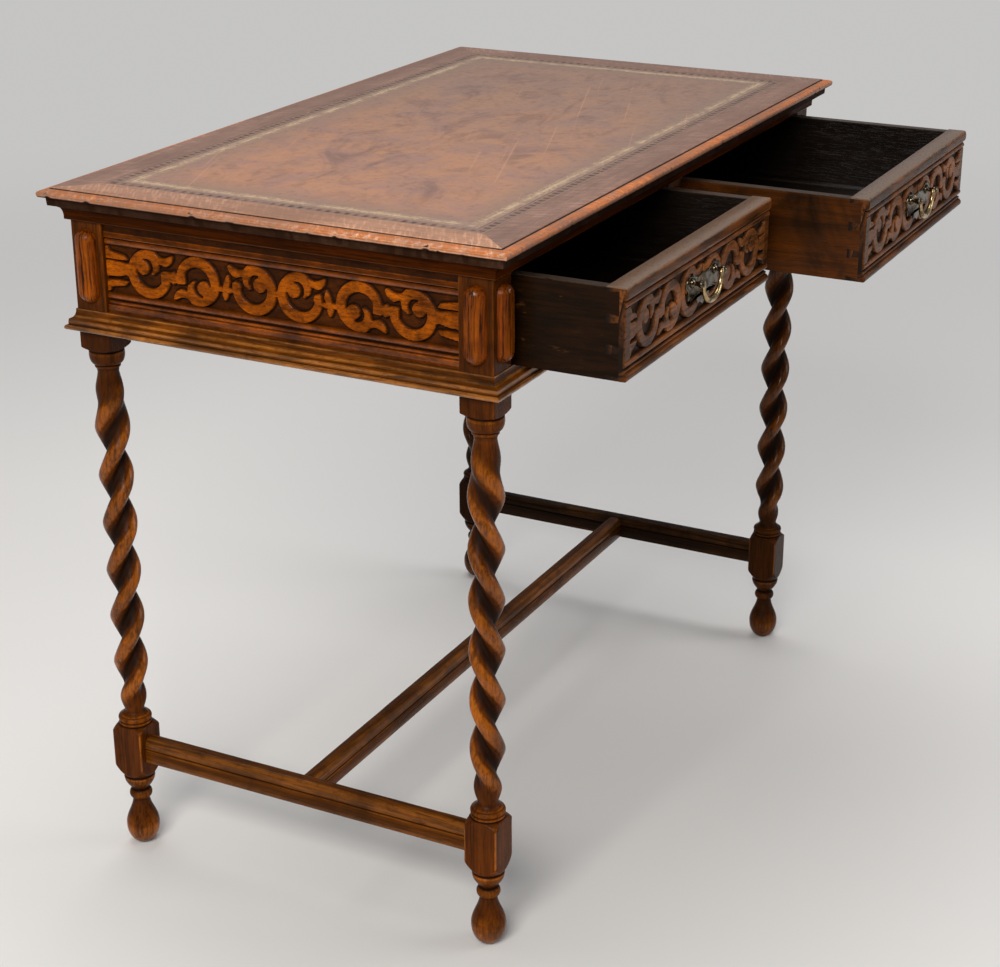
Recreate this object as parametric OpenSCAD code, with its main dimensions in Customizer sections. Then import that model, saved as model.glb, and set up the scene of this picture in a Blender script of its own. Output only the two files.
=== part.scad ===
// Oak writing table with a leather top, barley-twist legs and two frieze drawers.
// Long side along X, drawers at -Y, floor at z = 0. The drawers stand open as photographed.

/* [Overall] */
// Width over the moulded edge of the top
desk_w = 887; // [800:1:1000]
// Depth over the moulded edge of the top
desk_d = 525; // [480:1:600]
// Height of the writing surface
desk_h = 757; // [735:1:775]

/* [Top] */
// Thickness of the top
top_t = 18; // [16:0.5:24]
// Width of the oak border round the leather
border_w = 48; // [40:1:60]
// Thickness of the leather
leather_t = 1.2; // [0.8:0.1:2]
// Overhang of the top past the frieze at the ends
overhang_end = 20.5; // [16:0.5:28]
// Overhang of the top past the frieze at the front and back
overhang_front = 24; // [18:0.5:30]
// Width of the moulding worked on the edge of the top
edge_w = 10; // [8:0.5:14]
// Height from the surface down to the tip of the nosing
nose_drop = 6.5; // [5:0.5:8]
// Thickness of the nosing
nose_t = 12.2; // [11:0.2:14]

/* [Frieze] */
// Height of the frieze, from the foot of its base moulding to the underside of the top
frieze_h = 129.5; // [124:0.5:136]
// Height of the front bottom rail and base moulding
base_h = 21.5; // [18:0.5:26]
// Height of the drawer openings
opening_h = 92; // [88:1:96]
// Depth of the frieze faces behind the faces of the posts
frieze_set = 4; // [2:0.5:6]
// Depth of the carved ground behind the frieze face
ground_sink = 5.5; // [4:0.5:7]
// Height of the carving above its ground
relief = 4.2; // [3:0.1:5]
// Thickness of the end and back boards
board_t = 20; // [16:0.5:24]
// Depth of the front top rail
top_rail_d = 48; // [40:1:60]
// Depth of the front bottom rail
bottom_rail_d = 58; // [50:1:70]
// Length of the tenons on rails, boards and stretchers
tenon_l = 14; // [10:1:18]
// Thickness of the tenons
tenon_t = 9; // [8:0.5:11]
// Space left round each tenon
tenon_gap = 0.1; // [0.05:0.05:0.2]

/* [Mouldings] */
// Height of the moulding under the top
bed_h = 14.5; // [12:0.5:15]
// Projection of the moulding under the top
bed_p = 8.5; // [7:0.5:12]
// Projection of the base moulding
base_p = 10.6; // [9:0.2:14]
// Width of the half-round strips on the posts
strip_w = 20; // [16:0.5:24]
// Projection of the half-round strips
strip_p = 6.5; // [5:0.5:8]
// Length of the half-round strips
strip_l = 72; // [60:1:80]

/* [Legs] */
// Side of the square leg stock
stock = 37; // [37:0.5:42]
// Radius over the crests of the twist
crest_r = 18.3; // [17:0.1:18.4]
// Radius at the bottom of the twist grooves
groove_r = 6.5; // [5.5:0.1:8]
// Height of one full turn of the twist
twist_pitch = 109.2; // [100:0.2:130]
// Angle of the crests at the top of the twist, front left and back right legs
twist_start_a = 95; // [0:1:179]
// Angle of the crests at the top of the twist, front right leg
twist_start_b = 160; // [0:1:179]
// Angle of the crests at the top of the twist, back left leg
twist_start_c = 155; // [0:1:179]
// Length of the turned head between the twist and the frieze
head_l = 46.5; // [40:0.5:60]
// Length of the turned rings between the lower block and the twist
ring_l = 27; // [24:0.5:34]
// Radius of the ball foot
foot_r = 18.4; // [16:0.1:18.8]
// Radius of the flat that a foot stands on
foot_flat_r = 5; // [4:0.5:8]

/* [Stretchers] */
// Height of the underside of the stretchers
stretcher_z = 108.5; // [105:0.5:112]
// Height of the stretcher section
stretcher_h = 28.5; // [27:0.5:34]
// Thickness of the side stretchers
stretcher_t = 20; // [18:0.5:24]
// Thickness of the centre stretcher
centre_t = 20; // [18:0.5:24]
// Height of the centre stretcher section
centre_h = 27; // [25:0.5:27]

/* [Drawers] */
// How far the left drawer stands open
open_left = 117; // [0:1:300]
// How far the right drawer stands open
open_right = 211; // [0:1:300]
// Length of the drawers from front to back
drawer_l = 420; // [380:1:440]
// Space at each side of and under a drawer
drawer_gap = 0.5; // [0.4:0.1:1.5]
// Space over a drawer
drawer_gap_top = 2; // [1:0.5:4]
// Thickness of the drawer fronts
front_t = 22; // [20:0.5:26]
// Thickness of the drawer sides
side_t = 11; // [9:0.5:13]
// Thickness of the drawer backs
back_t = 9; // [7:0.5:12]
// Thickness of the drawer bottoms
bottom_t = 5.5; // [4:0.5:6]
// Height of the drawer bottom above the edge of the sides
bottom_up = 4; // [3.8:0.1:6]
// Wood left in front of the dovetails
lap_t = 9; // [8.5:0.5:11]
// Number of dovetails on each side
tails = 3; // [2:1:5]
// Width of the slips that carry the drawer bottom
slip_w = 13; // [10:0.5:16]
// Height of the slips above the drawer bottom
slip_up = 4.5; // [3:0.5:8]

/* [Carving] */
// Outer radius of a carved scroll
scroll_r = 25.2; // [24.8:0.1:25.4]
// Radius of the sunk ground inside a scroll
ground_r = 16.2; // [15:0.1:17]
// Radius of the curled eye of a scroll
eye_r = 7.4; // [6.5:0.1:8]
// Height of the carved field
field_h = 50; // [48:1:52]
// Places of the three scrolls from the middle of an end board
end_scrolls = [26, 92, 150.5];
// Places of the three scrolls from the middle of a drawer front
drawer_scrolls = [27, 77, 130];
// Plain margin at each end of the carved field of a drawer
field_margin = 11; // [6:1:16]

/* [Handles] */
// Distance between the two handle posts
post_pitch = 57; // [50:1:64]
// Height of the handle posts above the middle of the carved field
handle_up = 9; // [4:1:12]
// Width of the handle backplate
plate_w = 88; // [80:1:94]
// Thickness of the backplate
plate_t = 1.6; // [1:0.1:2.5]
// Height of the ball centres in front of the drawer face
ball_out = 8.5; // [8:0.5:12]
// Radius of the balls on the posts
ball_r = 3.8; // [3.5:0.1:5]
// Drop of the bail below the ball centres
bail_drop = 22; // [20:1:30]
// Thickest radius of the bail
bail_r = 3.3; // [2.5:0.1:4]
// Radius of the bail at its ends
bail_end_r = 1.5; // [1.2:0.1:1.8]
// Radius of the threaded shanks
shank_r = 2; // [1.5:0.1:2.5]

/* [Hidden] */

oak = "#5b3218";
dark_oak = "#3a2010";
drawer_oak = "#40281a";
hide = "#8a5b45";
brass = "#a98f55";

// Faces and levels that the pieces share
top_z = desk_h - top_t;
base_z = top_z - frieze_h;
twist_top = base_z - head_l;
post_x = desk_w / 2 - overhang_end;
post_y = desk_d / 2 - overhang_front;
leg_x = post_x - stock / 2;
leg_y = post_y - stock / 2;
in_x = post_x - stock;
in_y = post_y - stock;
rail_z = base_z + base_h;
opening_top = rail_z + opening_h;
bed_z = top_z - bed_h;
board_in_x = post_x - frieze_set - board_t;
board_in_y = post_y - frieze_set - board_t;
field_z = rail_z + opening_h / 2 - 1;

// Drawer sizes, measured in the closed drawer
stile_w = stock;
drawer_w = in_x - stile_w / 2 - 2 * drawer_gap;
drawer_cx = stile_w / 2 + drawer_gap + drawer_w / 2;
drawer_z = rail_z + drawer_gap;
drawer_top = opening_top - drawer_gap_top;
drawer_h = drawer_top - drawer_z;
side_h = drawer_h - 1;
tail_l = front_t - lap_t;
bottom_z = drawer_z + bottom_up;
handle_z = field_z + handle_up;
handle_reach = ball_out + ball_r;

// The model stands with its origin under the middle of its box, drawers open
front_y = max(desk_d / 2, post_y + max(open_left, open_right) + handle_reach);
origin_y = (front_y - desk_d / 2) / 2;

module placed() translate([0, origin_y, 0]) children();

// Points along an arc or an elliptical arc
function arc(c, rx, ry, a0, a1, n) =
  [for (i = [0:n]) let (a = a0 + (a1 - a0) * i / n) [c[0] + rx * cos(a), c[1] + ry * sin(a)]];

// A run of moulding along X that faces -Y, mitred at both ends. Section points are
// [distance out from the face, height]; the face lies at y = -out and ends at x = +-half.
module mitred_run(out, half, section) {
  reach = max([for (p = section) p[0]]) + 1;
  back = min([for (p = section) p[0]]) - 1;
  low = min([for (p = section) p[1]]) - 1;
  high = max([for (p = section) p[1]]) + 1;
  intersection() {
    translate([-half - reach, -out, 0])
      rotate([90, 0, 90])
        linear_extrude(2 * (half + reach))
          polygon([for (p = section) [-p[0], p[1]]]);
    translate([0, 0, low])
      linear_extrude(high - low)
        polygon([
          [-(half + reach), -(out + reach)], [half + reach, -(out + reach)],
          [half + back, -(out + back)], [-(half + back), -(out + back)]
        ]);
  }
}

// The same run on one of four sides: 0 front, 1 right, 2 back, 3 left
module moulding_round(side, x_face, y_face, section) {
  across = side % 2 == 1;
  rotate([0, 0, 90 * side])
    mitred_run(across ? x_face : y_face, across ? y_face : x_face, section);
}

// Top

top_edge = concat(
  [[-border_w, 0], [-edge_w, 0]],
  arc([-edge_w + 0.2, -nose_drop], edge_w - 0.2, nose_drop - 1.2, 90, 0, 7),
  arc([-2, -nose_drop], 2, nose_t - nose_drop - 0.5, -15, -90, 5),
  [[-6, -nose_t], [-6.6, -nose_t - 1], [-7.2, -top_t], [-border_w, -top_t]]
);

module top_border(side) color(oak)
  translate([0, 0, desk_h])
    moulding_round(side, desk_w / 2, desk_d / 2, top_edge);

module top_board() color(oak)
  translate([0, 0, top_z + (top_t - leather_t) / 2])
    cube([desk_w - 2 * border_w, desk_d - 2 * border_w, top_t - leather_t], center = true);

module leather_skin() color(hide)
  translate([0, 0, desk_h - leather_t / 2])
    cube([desk_w - 2 * border_w, desk_d - 2 * border_w, leather_t], center = true);

// Mouldings under the top and round the base of the frieze

bed_foot = bed_p / 2;
bed_section = concat(
  [[0, top_z], [bed_p, top_z], [bed_p, top_z - 1.8]],
  arc([bed_p - 0.8, bed_z + 2], bed_p - 0.8 - bed_foot, bed_h - 4.2, 90, 180, 6),
  [[bed_foot, bed_z], [0, bed_z]]
);

module bed_moulding(side) color(dark_oak)
  moulding_round(side, post_x, post_y, bed_section);

nose_r = 2.6;
base_section = concat(
  [[0, base_z], [base_p - nose_r, base_z]],
  arc([base_p - nose_r, base_z + nose_r], nose_r, nose_r, -90, 90, 8),
  [[base_p - 3.2, base_z + 2 * nose_r], [base_p - 3.4, base_z + 9.2]],
  arc([base_p - 3.4, rail_z - 1.5], base_p - 4.4, base_h - 12.7, -90, -180, 6),
  [[1, rail_z], [0, rail_z]]
);

module base_moulding(side) color(oak)
  moulding_round(side, post_x, post_y, base_section);

// Legs

// Turned outline from the floor to the twist, as [radius, height]
foot_waist = 57;
foot_mid = 24;
bead_z = 62.3;
block_low = stretcher_z;
block_high = stretcher_z + stretcher_h + 4.5;
twist_bottom = block_high + ring_l;
block_r = stock * 0.73;
neck_r = foot_r * 0.53;
foot_neck_r = foot_r * 0.5;
cup_r = stock * 0.463;
cup_top = block_low - 24;

function pear(z) = foot_neck_r + (foot_r - foot_neck_r) * (1 + cos(180 * (z - foot_mid) / (foot_waist - foot_mid))) / 2;

foot_outline = concat(
  [[0, 0], [foot_flat_r, 0]],
  [for (i = [1:7]) let (z = foot_mid * (1 - cos(90 * i / 7))) [max(foot_flat_r, foot_r * sin(90 * i / 7) + foot_flat_r * (1 - i / 7) * 0.4), z]],
  [for (i = [1:8]) let (z = foot_mid + (foot_waist - foot_mid) * i / 8) [pear(z), z]],
  arc([foot_neck_r, bead_z], 3.4, 5.2, -90, 90, 8),
  [for (i = [0:6]) [foot_neck_r + 0.6 + (cup_r - foot_neck_r - 0.6) * sin(15 * i), bead_z + 7.6 + (cup_top - bead_z - 7.6) * i / 6]],
  [[cup_r - 1.6, cup_top + 1.4], [cup_r - 1.6, cup_top + 3]],
  [for (i = [0:5]) [cup_r + 0.3 + (block_r - cup_r - 0.3) * sin(18 * i), cup_top + 4 + (block_low - cup_top - 4) * i / 5]],
  [for (i = [0:5]) [crest_r - 0.6 + (block_r - crest_r + 0.6) * cos(18 * i), block_high + 10 * i / 5]],
  arc([crest_r - 2.5, block_high + 12], 2.3, 1.8, -90, 90, 6),
  arc([crest_r - 3, block_high + 17.2], 3, 3.4, -90, 90, 6),
  [for (i = [0:4]) [crest_r - 3 - (crest_r - 3 - neck_r - 1) * sin(22.5 * i), twist_bottom - 6 + 6 * i / 4]],
  [[0, twist_bottom]]
);

// Turned outline from the twist to the top of the post
post_low = twist_top + 28;
head_neck_r = neck_r + 1.8;
head_outline = concat(
  [[0, twist_top], [head_neck_r, twist_top], [head_neck_r, twist_top + 2.6]],
  arc([head_neck_r + 0.2, twist_top + 4.6], 1.7, 1.9, -90, 90, 6),
  arc([crest_r - 4.6, twist_top + 17.6], 4.8, 10.4, -90, 20, 9),
  [[crest_r - 1.2, twist_top + 22], [crest_r - 1.2, twist_top + 22.8]],
  [for (i = [0:5]) [crest_r + 0.2 + (block_r - crest_r - 0.2) * sin(18 * i), twist_top + 23.4 + (post_low - twist_top - 23.4) * i / 5]],
  [[block_r, top_z], [0, top_z]]
);

// Two-start barley twist: each section is a two-lobed curve that swings round as it climbs,
// and fades into the round necks above and below.
twist_sides = 20;
twist_len = twist_top - twist_bottom;
twist_rings = round(twist_len / twist_pitch * twist_sides) + 1;
sink = 2;
fade_l = 55;
barrel_l = 44;
groove_start_l = 78;

function ease(t) = let (u = min(1, max(0, t))) u * u * (3 - 2 * u);
// Depth of the grooves, from 0 in the necks to 1
function fade(z) = min(ease((z - twist_bottom) / fade_l),
  pow(min(1, max(0, (twist_top - z) / groove_start_l)), 1.25));

// Radius of the plain round leg: it swells a little above the lower neck, and below the upper
// one it fills out to the full size of the crests before the grooves are deep
function round_r(z) = z > (twist_bottom + twist_top) / 2
  ? head_neck_r - 0.6 + (crest_r - head_neck_r + 0.6) * ease((twist_top - z) / barrel_l)
  : neck_r + 0.7 + 3.4 * sin(180 * min(1, max(0, (z - twist_bottom) / 36)));

function lobe_r(z, a) = let (f = fade(z), n = round_r(z),
    crest = n + (crest_r - n) * min(1, f * 1.35), groove = n + (groove_r - n) * f)
  sqrt(pow(crest * cos(a), 2) + pow(groove * sin(a), 2));

module twist(hand, start) {
  points = [for (k = [0:twist_rings]) for (i = [0:twist_sides - 1])
    let (z = twist_bottom - sink + (twist_len + 2 * sink) * k / twist_rings,
         a = 360 * i / twist_sides, turn = start + hand * 360 * (z - twist_top) / twist_pitch,
         r = lobe_r(z, a))
    [r * cos(a + turn), r * sin(a + turn), z]];
  low_ring = [for (i = [0:twist_sides - 1]) i];
  high_ring = [for (i = [twist_sides - 1:-1:0]) twist_rings * twist_sides + i];
  // The short diagonal of each panel follows the hand of the twist
  walls = [for (k = [0:twist_rings - 1]) for (i = [0:twist_sides - 1])
    let (j = (i + 1) % twist_sides, a = k * twist_sides + i, b = k * twist_sides + j,
         c = a + twist_sides, d = b + twist_sides)
    each (hand > 0 ? [[a, c, b], [b, c, d]] : [[a, d, b], [a, c, d]])];
  polyhedron(points, concat([low_ring], walls, [high_ring]), convexity = 12);
}

stretcher_y = leg_y - stock / 2;

// Mortise for a tenon that enters along -X or -Y of the leg's own axes
module mortise(dir, z0, z1) {
  l = tenon_l + 2 * tenon_gap;
  w = tenon_t + 2 * tenon_gap;
  rotate([0, 0, dir])
    translate([stock / 2 - l, -w / 2, z0 - tenon_gap])
      cube([l + 1, w, z1 - z0 + 2 * tenon_gap]);
}

// One leg: foot, lower block, twist, head and post from one square of oak. sx and sy give
// its corner, hand the way the twist runs and start the angle of the twist at its top.
module leg(sx, sy, hand, start) color(oak)
  translate([sx * leg_x, sy * leg_y, 0])
    difference() {
      union() {
        intersection() {
          union() {
            rotate_extrude($fn = 64) polygon(foot_outline);
            rotate_extrude($fn = 64) polygon(head_outline);
          }
          translate([-stock / 2, -stock / 2, 0]) cube([stock, stock, top_z]);
        }
        twist(hand, start);
      }
      mortise(sy > 0 ? -90 : 90, stretcher_z + 4, stretcher_z + stretcher_h - 6);
      mortise(sy > 0 ? -90 : 90, base_z + 4, top_z - 4);
      if (sy > 0)
        mortise(sx > 0 ? 180 : 0, base_z + 4, top_z - 4);
      else {
        mortise(sx > 0 ? 180 : 0, base_z + 4, rail_z - 4);
        mortise(sx > 0 ? 180 : 0, opening_top + 3, top_z - 3);
      }
    }

// Frieze

// Face of the frieze from its bottom edge up, as [distance behind the face, height]
bead_r = 3.2;
small_bead_r = 1.4;
field_low = field_z - field_h / 2;
field_high = field_z + field_h / 2;
quirk = ground_sink - 1;

function beads(face) = concat(
  [[face - 1, field_low - 12.1]],
  [[face - quirk / 2, field_low - 11.6]],
  arc([face - quirk / 2, field_low - 10.2], small_bead_r, small_bead_r, -90, 90, 5),
  [[face - quirk, field_low - 8.6], [face - quirk, field_low - 2 * bead_r]],
  arc([face - bead_r - 0.5, field_low - bead_r], bead_r, bead_r, -90, 90, 6),
  [[face - ground_sink, field_low], [face - ground_sink, field_high]],
  arc([face - bead_r - 0.5, field_high + bead_r], bead_r, bead_r, -90, 90, 6),
  [[face - quirk, field_high + 2 * bead_r], [face - quirk, field_high + 7.2]]
);

end_face = -frieze_set;
end_section = concat(
  [[0, base_z], [0, rail_z], [end_face, rail_z]],
  beads(end_face),
  [[end_face, field_high + 7.8], [end_face, field_high + 13],
   [end_face - 1.2, field_high + 14], [end_face - 1.2, bed_z], [0, bed_z], [0, top_z],
   [-frieze_set - board_t, top_z], [-frieze_set - board_t, base_z]]
);

// Carved strapwork, drawn in the flat with its middle at the origin

// One open scroll: a band with a curled eye inside and a hooked leaf that flares into a fishtail
// tail at the upper right. The band ends in a beak, or in a bar to the next scroll.
module scroll(barred) {
  difference() {
    circle(scroll_r, $fn = 48);
    translate([1, 1.8]) circle(ground_r, $fn = 40);
    // the mouth of the scroll, from the end of the band up to the leaf
    polygon([[8, 5], [16, 5], [32, 5.5], [32, 28], [9, 28], [8, 22]]);
  }
  // the curled eye and the wood that joins it to the band
  translate([-6.7, 6.2]) circle(eye_r, $fn = 32);
  polygon([[-16, 4], [-14, 14], [-6, 18], [-5.4, 13.2], [-12, 3]]);
  // the hooked leaf and the tail, cut away round the eye
  difference() {
    polygon([[-9, 16.5], [-9, 22], [0, 24], [8, 23.6], [10.5, 20.5], [15.5, 18.7], [20.5, 19], [28.8, 22.2],
             [28.8, 17], [25.5, 12.5], [20.5, 10], [13.5, 12], [12.4, 8], [11.5, 4.5], [8, 1.6], [3.3, 0.8]]);
    translate([-3, 7.2]) circle(eye_r + 1.2, $fn = 36);
  }
  if (barred)
    polygon([[15, 4.5], [32, 4.5], [32, -5], [29.6, -6.6], [26, -4.6], [21, -6], [15, -9]]);
  else {
    translate([20.3, 1]) circle(4.8, $fn = 24);
    polygon([[17, 3], [24.5, 2], [22.5, 6.8]]);
  }
}

// A small flower with three petals, on a bar that runs on to the next scroll
module flower() {
  polygon([[-5, 12], [-1.5, 6], [0.5, -1], [-2, -3], [-5, -2], [-7.6, 3], [-7, 7]]);
  polygon([[-1.5, -15], [1.6, -9], [1, -5], [-3, -4], [-5, -9]]);
  polygon([[-11.5, -4], [-8, -1.2], [-3, -1.5], [-3, -6], [-8, -6.6]]);
  translate([-4, -6]) square([16, 5]);
}

// Bar and two leaves that run out into the plain margin
module run_out(start, end) {
  long = end - start;
  translate([start, 0]) {
    polygon([[0, -6], [5, -4.5], [long * 0.45, -6.5], [long, -8], [long, 9.5], [long * 0.45, 8.5], [5, 7], [0, 8.5]]);
    for (s = [0, 1])
      mirror([0, s])
        polygon([[2.5, 11.2], [6, 15.5], [long * 0.55, 17.2], [long - 4, 18.6], [long - 2.5, 23], [long, 24],
                 [long, 11], [long * 0.5, 10.4]]);
  }
}

// Half of the strapwork of an end board
module end_strapwork(half) {
  translate([end_scrolls[0], 0]) scroll(false);
  translate([(end_scrolls[0] + end_scrolls[1]) / 2 + 2.5, 0]) flower();
  translate([end_scrolls[1], 0]) mirror([0, 1]) scroll(true);
  translate([end_scrolls[2], 0]) mirror([1, 0]) scroll(true);
  run_out(end_scrolls[2] + scroll_r - 2, half);
  translate([-1, -3]) square([4, 6]);
}

// Half of the strapwork of a drawer front
module drawer_strapwork(half) {
  difference() {
    translate([drawer_scrolls[0], 0]) mirror([1, 0]) scroll(false);
    translate([-8, -field_h / 2]) square([9.2, field_h]);
  }
  // where the first two scrolls meet
  translate([(drawer_scrolls[0] + drawer_scrolls[1]) / 2 - 1.5, -3]) square([3, 6]);
  translate([drawer_scrolls[1], 0]) mirror([0, 1]) scroll(true);
  translate([drawer_scrolls[2], 0]) mirror([1, 0]) scroll(true);
  run_out(drawer_scrolls[2] + scroll_r - 2, half);
}

// End board between the posts: moulded face, sunk ground, strapwork and tenons
module end_panel(side) color(oak)
  mirror([side > 0 ? 1 : 0, 0, 0]) {
    translate([-post_x, in_y, 0])
      rotate([90, 0, 0])
        linear_extrude(2 * in_y)
          polygon([for (p = end_section) [-p[0], p[1]]]);
    translate([-post_x - end_face + ground_sink + 0.5, 0, field_z])
      rotate([90, 0, -90])
        linear_extrude(relief + 0.5)
          intersection() {
            for (s = [0, 1]) mirror([s, 0]) end_strapwork(in_y);
            square([2 * in_y, field_h], center = true);
          }
    for (s = [-1, 1])
      translate([-leg_x - tenon_t / 2, s > 0 ? in_y - 1 : -in_y - tenon_l, base_z + 4])
        cube([tenon_t, tenon_l + 1, top_z - base_z - 8]);
  }

// Plain board across the back
module back_panel() color(dark_oak) {
  translate([-in_x, post_y, 0])
    rotate([90, 0, 90])
      linear_extrude(2 * in_x)
        polygon([[0, base_z], [0, rail_z], [-frieze_set, rail_z], [-frieze_set, bed_z], [0, bed_z],
                 [0, top_z], [-frieze_set - board_t, top_z], [-frieze_set - board_t, base_z]]);
  for (s = [-1, 1])
    translate([s > 0 ? in_x - 1 : -in_x - tenon_l, leg_y - tenon_t / 2, base_z + 4])
      cube([tenon_l + 1, tenon_t, top_z - base_z - 8]);
}

// Front rails over and under the drawers, tenoned into the posts
module front_rail(z0, z1, depth, shoulder) color(oak) {
  translate([-in_x, -post_y, z0]) cube([2 * in_x, depth, z1 - z0]);
  for (s = [-1, 1])
    translate([s > 0 ? in_x - 1 : -in_x - tenon_l, -leg_y - tenon_t / 2, z0 + shoulder])
      cube([tenon_l + 1, tenon_t, z1 - z0 - 2 * shoulder]);
}

module front_top_rail() front_rail(opening_top, top_z, top_rail_d, 3);
module front_bottom_rail() front_rail(base_z, rail_z, bottom_rail_d, 4);

// Upright between the drawers
module centre_stile() color(oak)
  translate([-stile_w / 2, -post_y, rail_z])
    cube([stile_w, stock, opening_h]);

// Half-round strip with domed ends, standing on a face that looks along -Y
module half_round() {
  r = (strip_w * strip_w / 4 + strip_p * strip_p) / (2 * strip_p);
  half = strip_l / 2 - strip_w / 2;
  intersection() {
    translate([0, r - strip_p, 0]) {
      cylinder(h = 2 * half, r = r, center = true, $fn = 64);
      for (s = [-1, 1])
        translate([0, 0, s * half]) sphere(r, $fn = 64);
    }
    translate([0, -strip_p, 0]) cube([2 * strip_w, 2 * strip_p, 2 * strip_l], center = true);
  }
}

strip_z = rail_z + opening_h / 2 + 1;

module half_rounds_end(side) color(oak)
  for (s = [-1, 1])
    translate([side * post_x, s * leg_y, strip_z])
      rotate([0, 0, 90 * side]) half_round();

module half_rounds_front() color(oak)
  for (s = [-1, 0, 1])
    translate([s * leg_x, -post_y, strip_z]) half_round();

// Stretchers

// Section of a side stretcher: a quirk and a rounded shoulder on the outer face
quirk_z = stretcher_h * 0.76;
side_section = concat(
  [[0, 0], [stretcher_t, 0], [stretcher_t, quirk_z - 1.6], [stretcher_t - 2.6, quirk_z + 1]],
  arc([stretcher_t - 5.5, quirk_z + 2], 3.6, stretcher_h - quirk_z - 2, 0, 90, 6),
  [[0, stretcher_h]]
);

module side_stretcher(side) color(oak)
  mirror([side < 0 ? 1 : 0, 0, 0])
    difference() {
      union() {
        translate([leg_x - stretcher_t / 2, stretcher_y, stretcher_z])
          rotate([90, 0, 0])
            linear_extrude(2 * stretcher_y) polygon(side_section);
        for (s = [-1, 1])
          translate([leg_x - tenon_t / 2, s > 0 ? stretcher_y - 1 : -stretcher_y - tenon_l, stretcher_z + 4])
            cube([tenon_t, tenon_l + 1, stretcher_h - 10]);
      }
      translate([leg_x - stretcher_t / 2 - 1, -tenon_t / 2 - tenon_gap, stretcher_z + 5 - tenon_gap])
        cube([tenon_l + 1 + tenon_gap, tenon_t + 2 * tenon_gap, centre_h - 10 + 2 * tenon_gap]);
    }

centre_x = leg_x - stretcher_t / 2;

module centre_stretcher() color(oak) {
  translate([-centre_x, centre_t / 2, stretcher_z])
    rotate([90, 0, 90])
      linear_extrude(2 * centre_x)
        polygon(concat(
          [[0, 0], [0, centre_h - 3]],
          arc([-3, centre_h - 3], 3, 3, 0, 90, 5),
          arc([-centre_t + 3, centre_h - 3], 3, 3, 90, 180, 5),
          [[-centre_t, 0]]
        ));
  for (s = [-1, 1])
    translate([s > 0 ? centre_x - 1 : -centre_x - tenon_l, -tenon_t / 2, stretcher_z + 5])
      cube([tenon_l + 1, tenon_t, centre_h - 10]);
}

// Inside the frame

runner_w = 34;
runner_t = 18;
guide_h = 26;

// Bar that runs back from a front rail; it ends at y_end
module carcass_bar(x, w, rail_d, y_end, z0, z1) color(drawer_oak)
  translate([x - w / 2, rail_d - post_y, z0])
    cube([w, y_end + post_y - rail_d, z1 - z0]);

side_bar_x = board_in_x - runner_w / 2;
middle_bar_w = stile_w + runner_w;

module runner(x, w, y_end) carcass_bar(x, w, bottom_rail_d, y_end, rail_z - runner_t, rail_z);
module kicker(x, w, y_end) carcass_bar(x, w, top_rail_d, y_end, opening_top, top_z);

// Guides beside the drawers: one on each outer runner, one behind the centre stile
module drawer_guides() color(drawer_oak) {
  for (s = [-1, 1])
    translate([s > 0 ? in_x : -board_in_x, -in_y, rail_z])
      cube([board_in_x - in_x, 2 * in_y, guide_h]);
  translate([-stile_w / 2, -in_y, rail_z])
    cube([stile_w, in_y + board_in_y, guide_h]);
}

// Small blocks on the bottom rail that stop the drawer fronts
stop_h = bottom_up - 0.3 + drawer_gap;
stop_w = 30;
stop_d = 20;

module drawer_stops() color(drawer_oak)
  for (side = [-1, 1])
    for (s = [-1, 1])
      translate([side * drawer_cx + s * drawer_w / 4 - stop_w / 2, -post_y + front_t + 0.3, rail_z])
        cube([stop_w, stop_d, stop_h]);

// Triangular blocks glued in the corner between the top and the rails
block_leg = 14;
block_l = 50;

module glue_block()
  rotate([90, 0, 90])
    linear_extrude(block_l, center = true)
      polygon([[0, 0], [0, -block_leg], [block_leg, 0]]);

module glue_blocks() color(drawer_oak)
  for (side = [-1, 1]) {
    for (s = [-0.5, 0.5])
      translate([side * drawer_cx + s * drawer_w / 2, top_rail_d - post_y, top_z]) glue_block();
    for (s = [-0.5, 0.5])
      translate([side * drawer_cx + s * drawer_w / 2, board_in_y, top_z])
        mirror([0, 1, 0]) glue_block();
  }

// Drawers, drawn closed round x = 0 and then moved to their side and pulled open

module drawer_at(side)
  translate([side * drawer_cx, side < 0 ? -open_left : -open_right, 0]) children();

// Moulded face of a drawer front: bands with rounded edges above and below the field
drawer_section = concat(
  [[-2.4, drawer_z]],
  arc([-2.4, (drawer_z + field_low - 12.6) / 2], 2.4, (field_low - 12.6 - drawer_z) / 2, -60, 60, 6),
  [[-2.4, field_low - 12.6]],
  beads(-1),
  [[-2.4, field_high + 7.6]],
  arc([-2.4, (field_high + 7.6 + drawer_top) / 2], 2.4, (drawer_top - field_high - 7.6) / 2, -60, 60, 6),
  [[-2.4, drawer_top], [-front_t, drawer_top], [-front_t, drawer_z]]
);

field_half = drawer_w / 2 - field_margin;

// Dovetail in the plane of a drawer side; grow widens the socket round it
tail_pitch = side_h / tails;
module tail(k, grow) {
  mid = drawer_z + tail_pitch * (k + 0.5);
  wide = tail_pitch / 2 - 3 + grow;
  narrow = wide - tail_l / 6;
  polygon([[0, mid - narrow], [0, mid + narrow], [-tail_l - grow, mid + wide], [-tail_l - grow, mid - wide]]);
}

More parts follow.
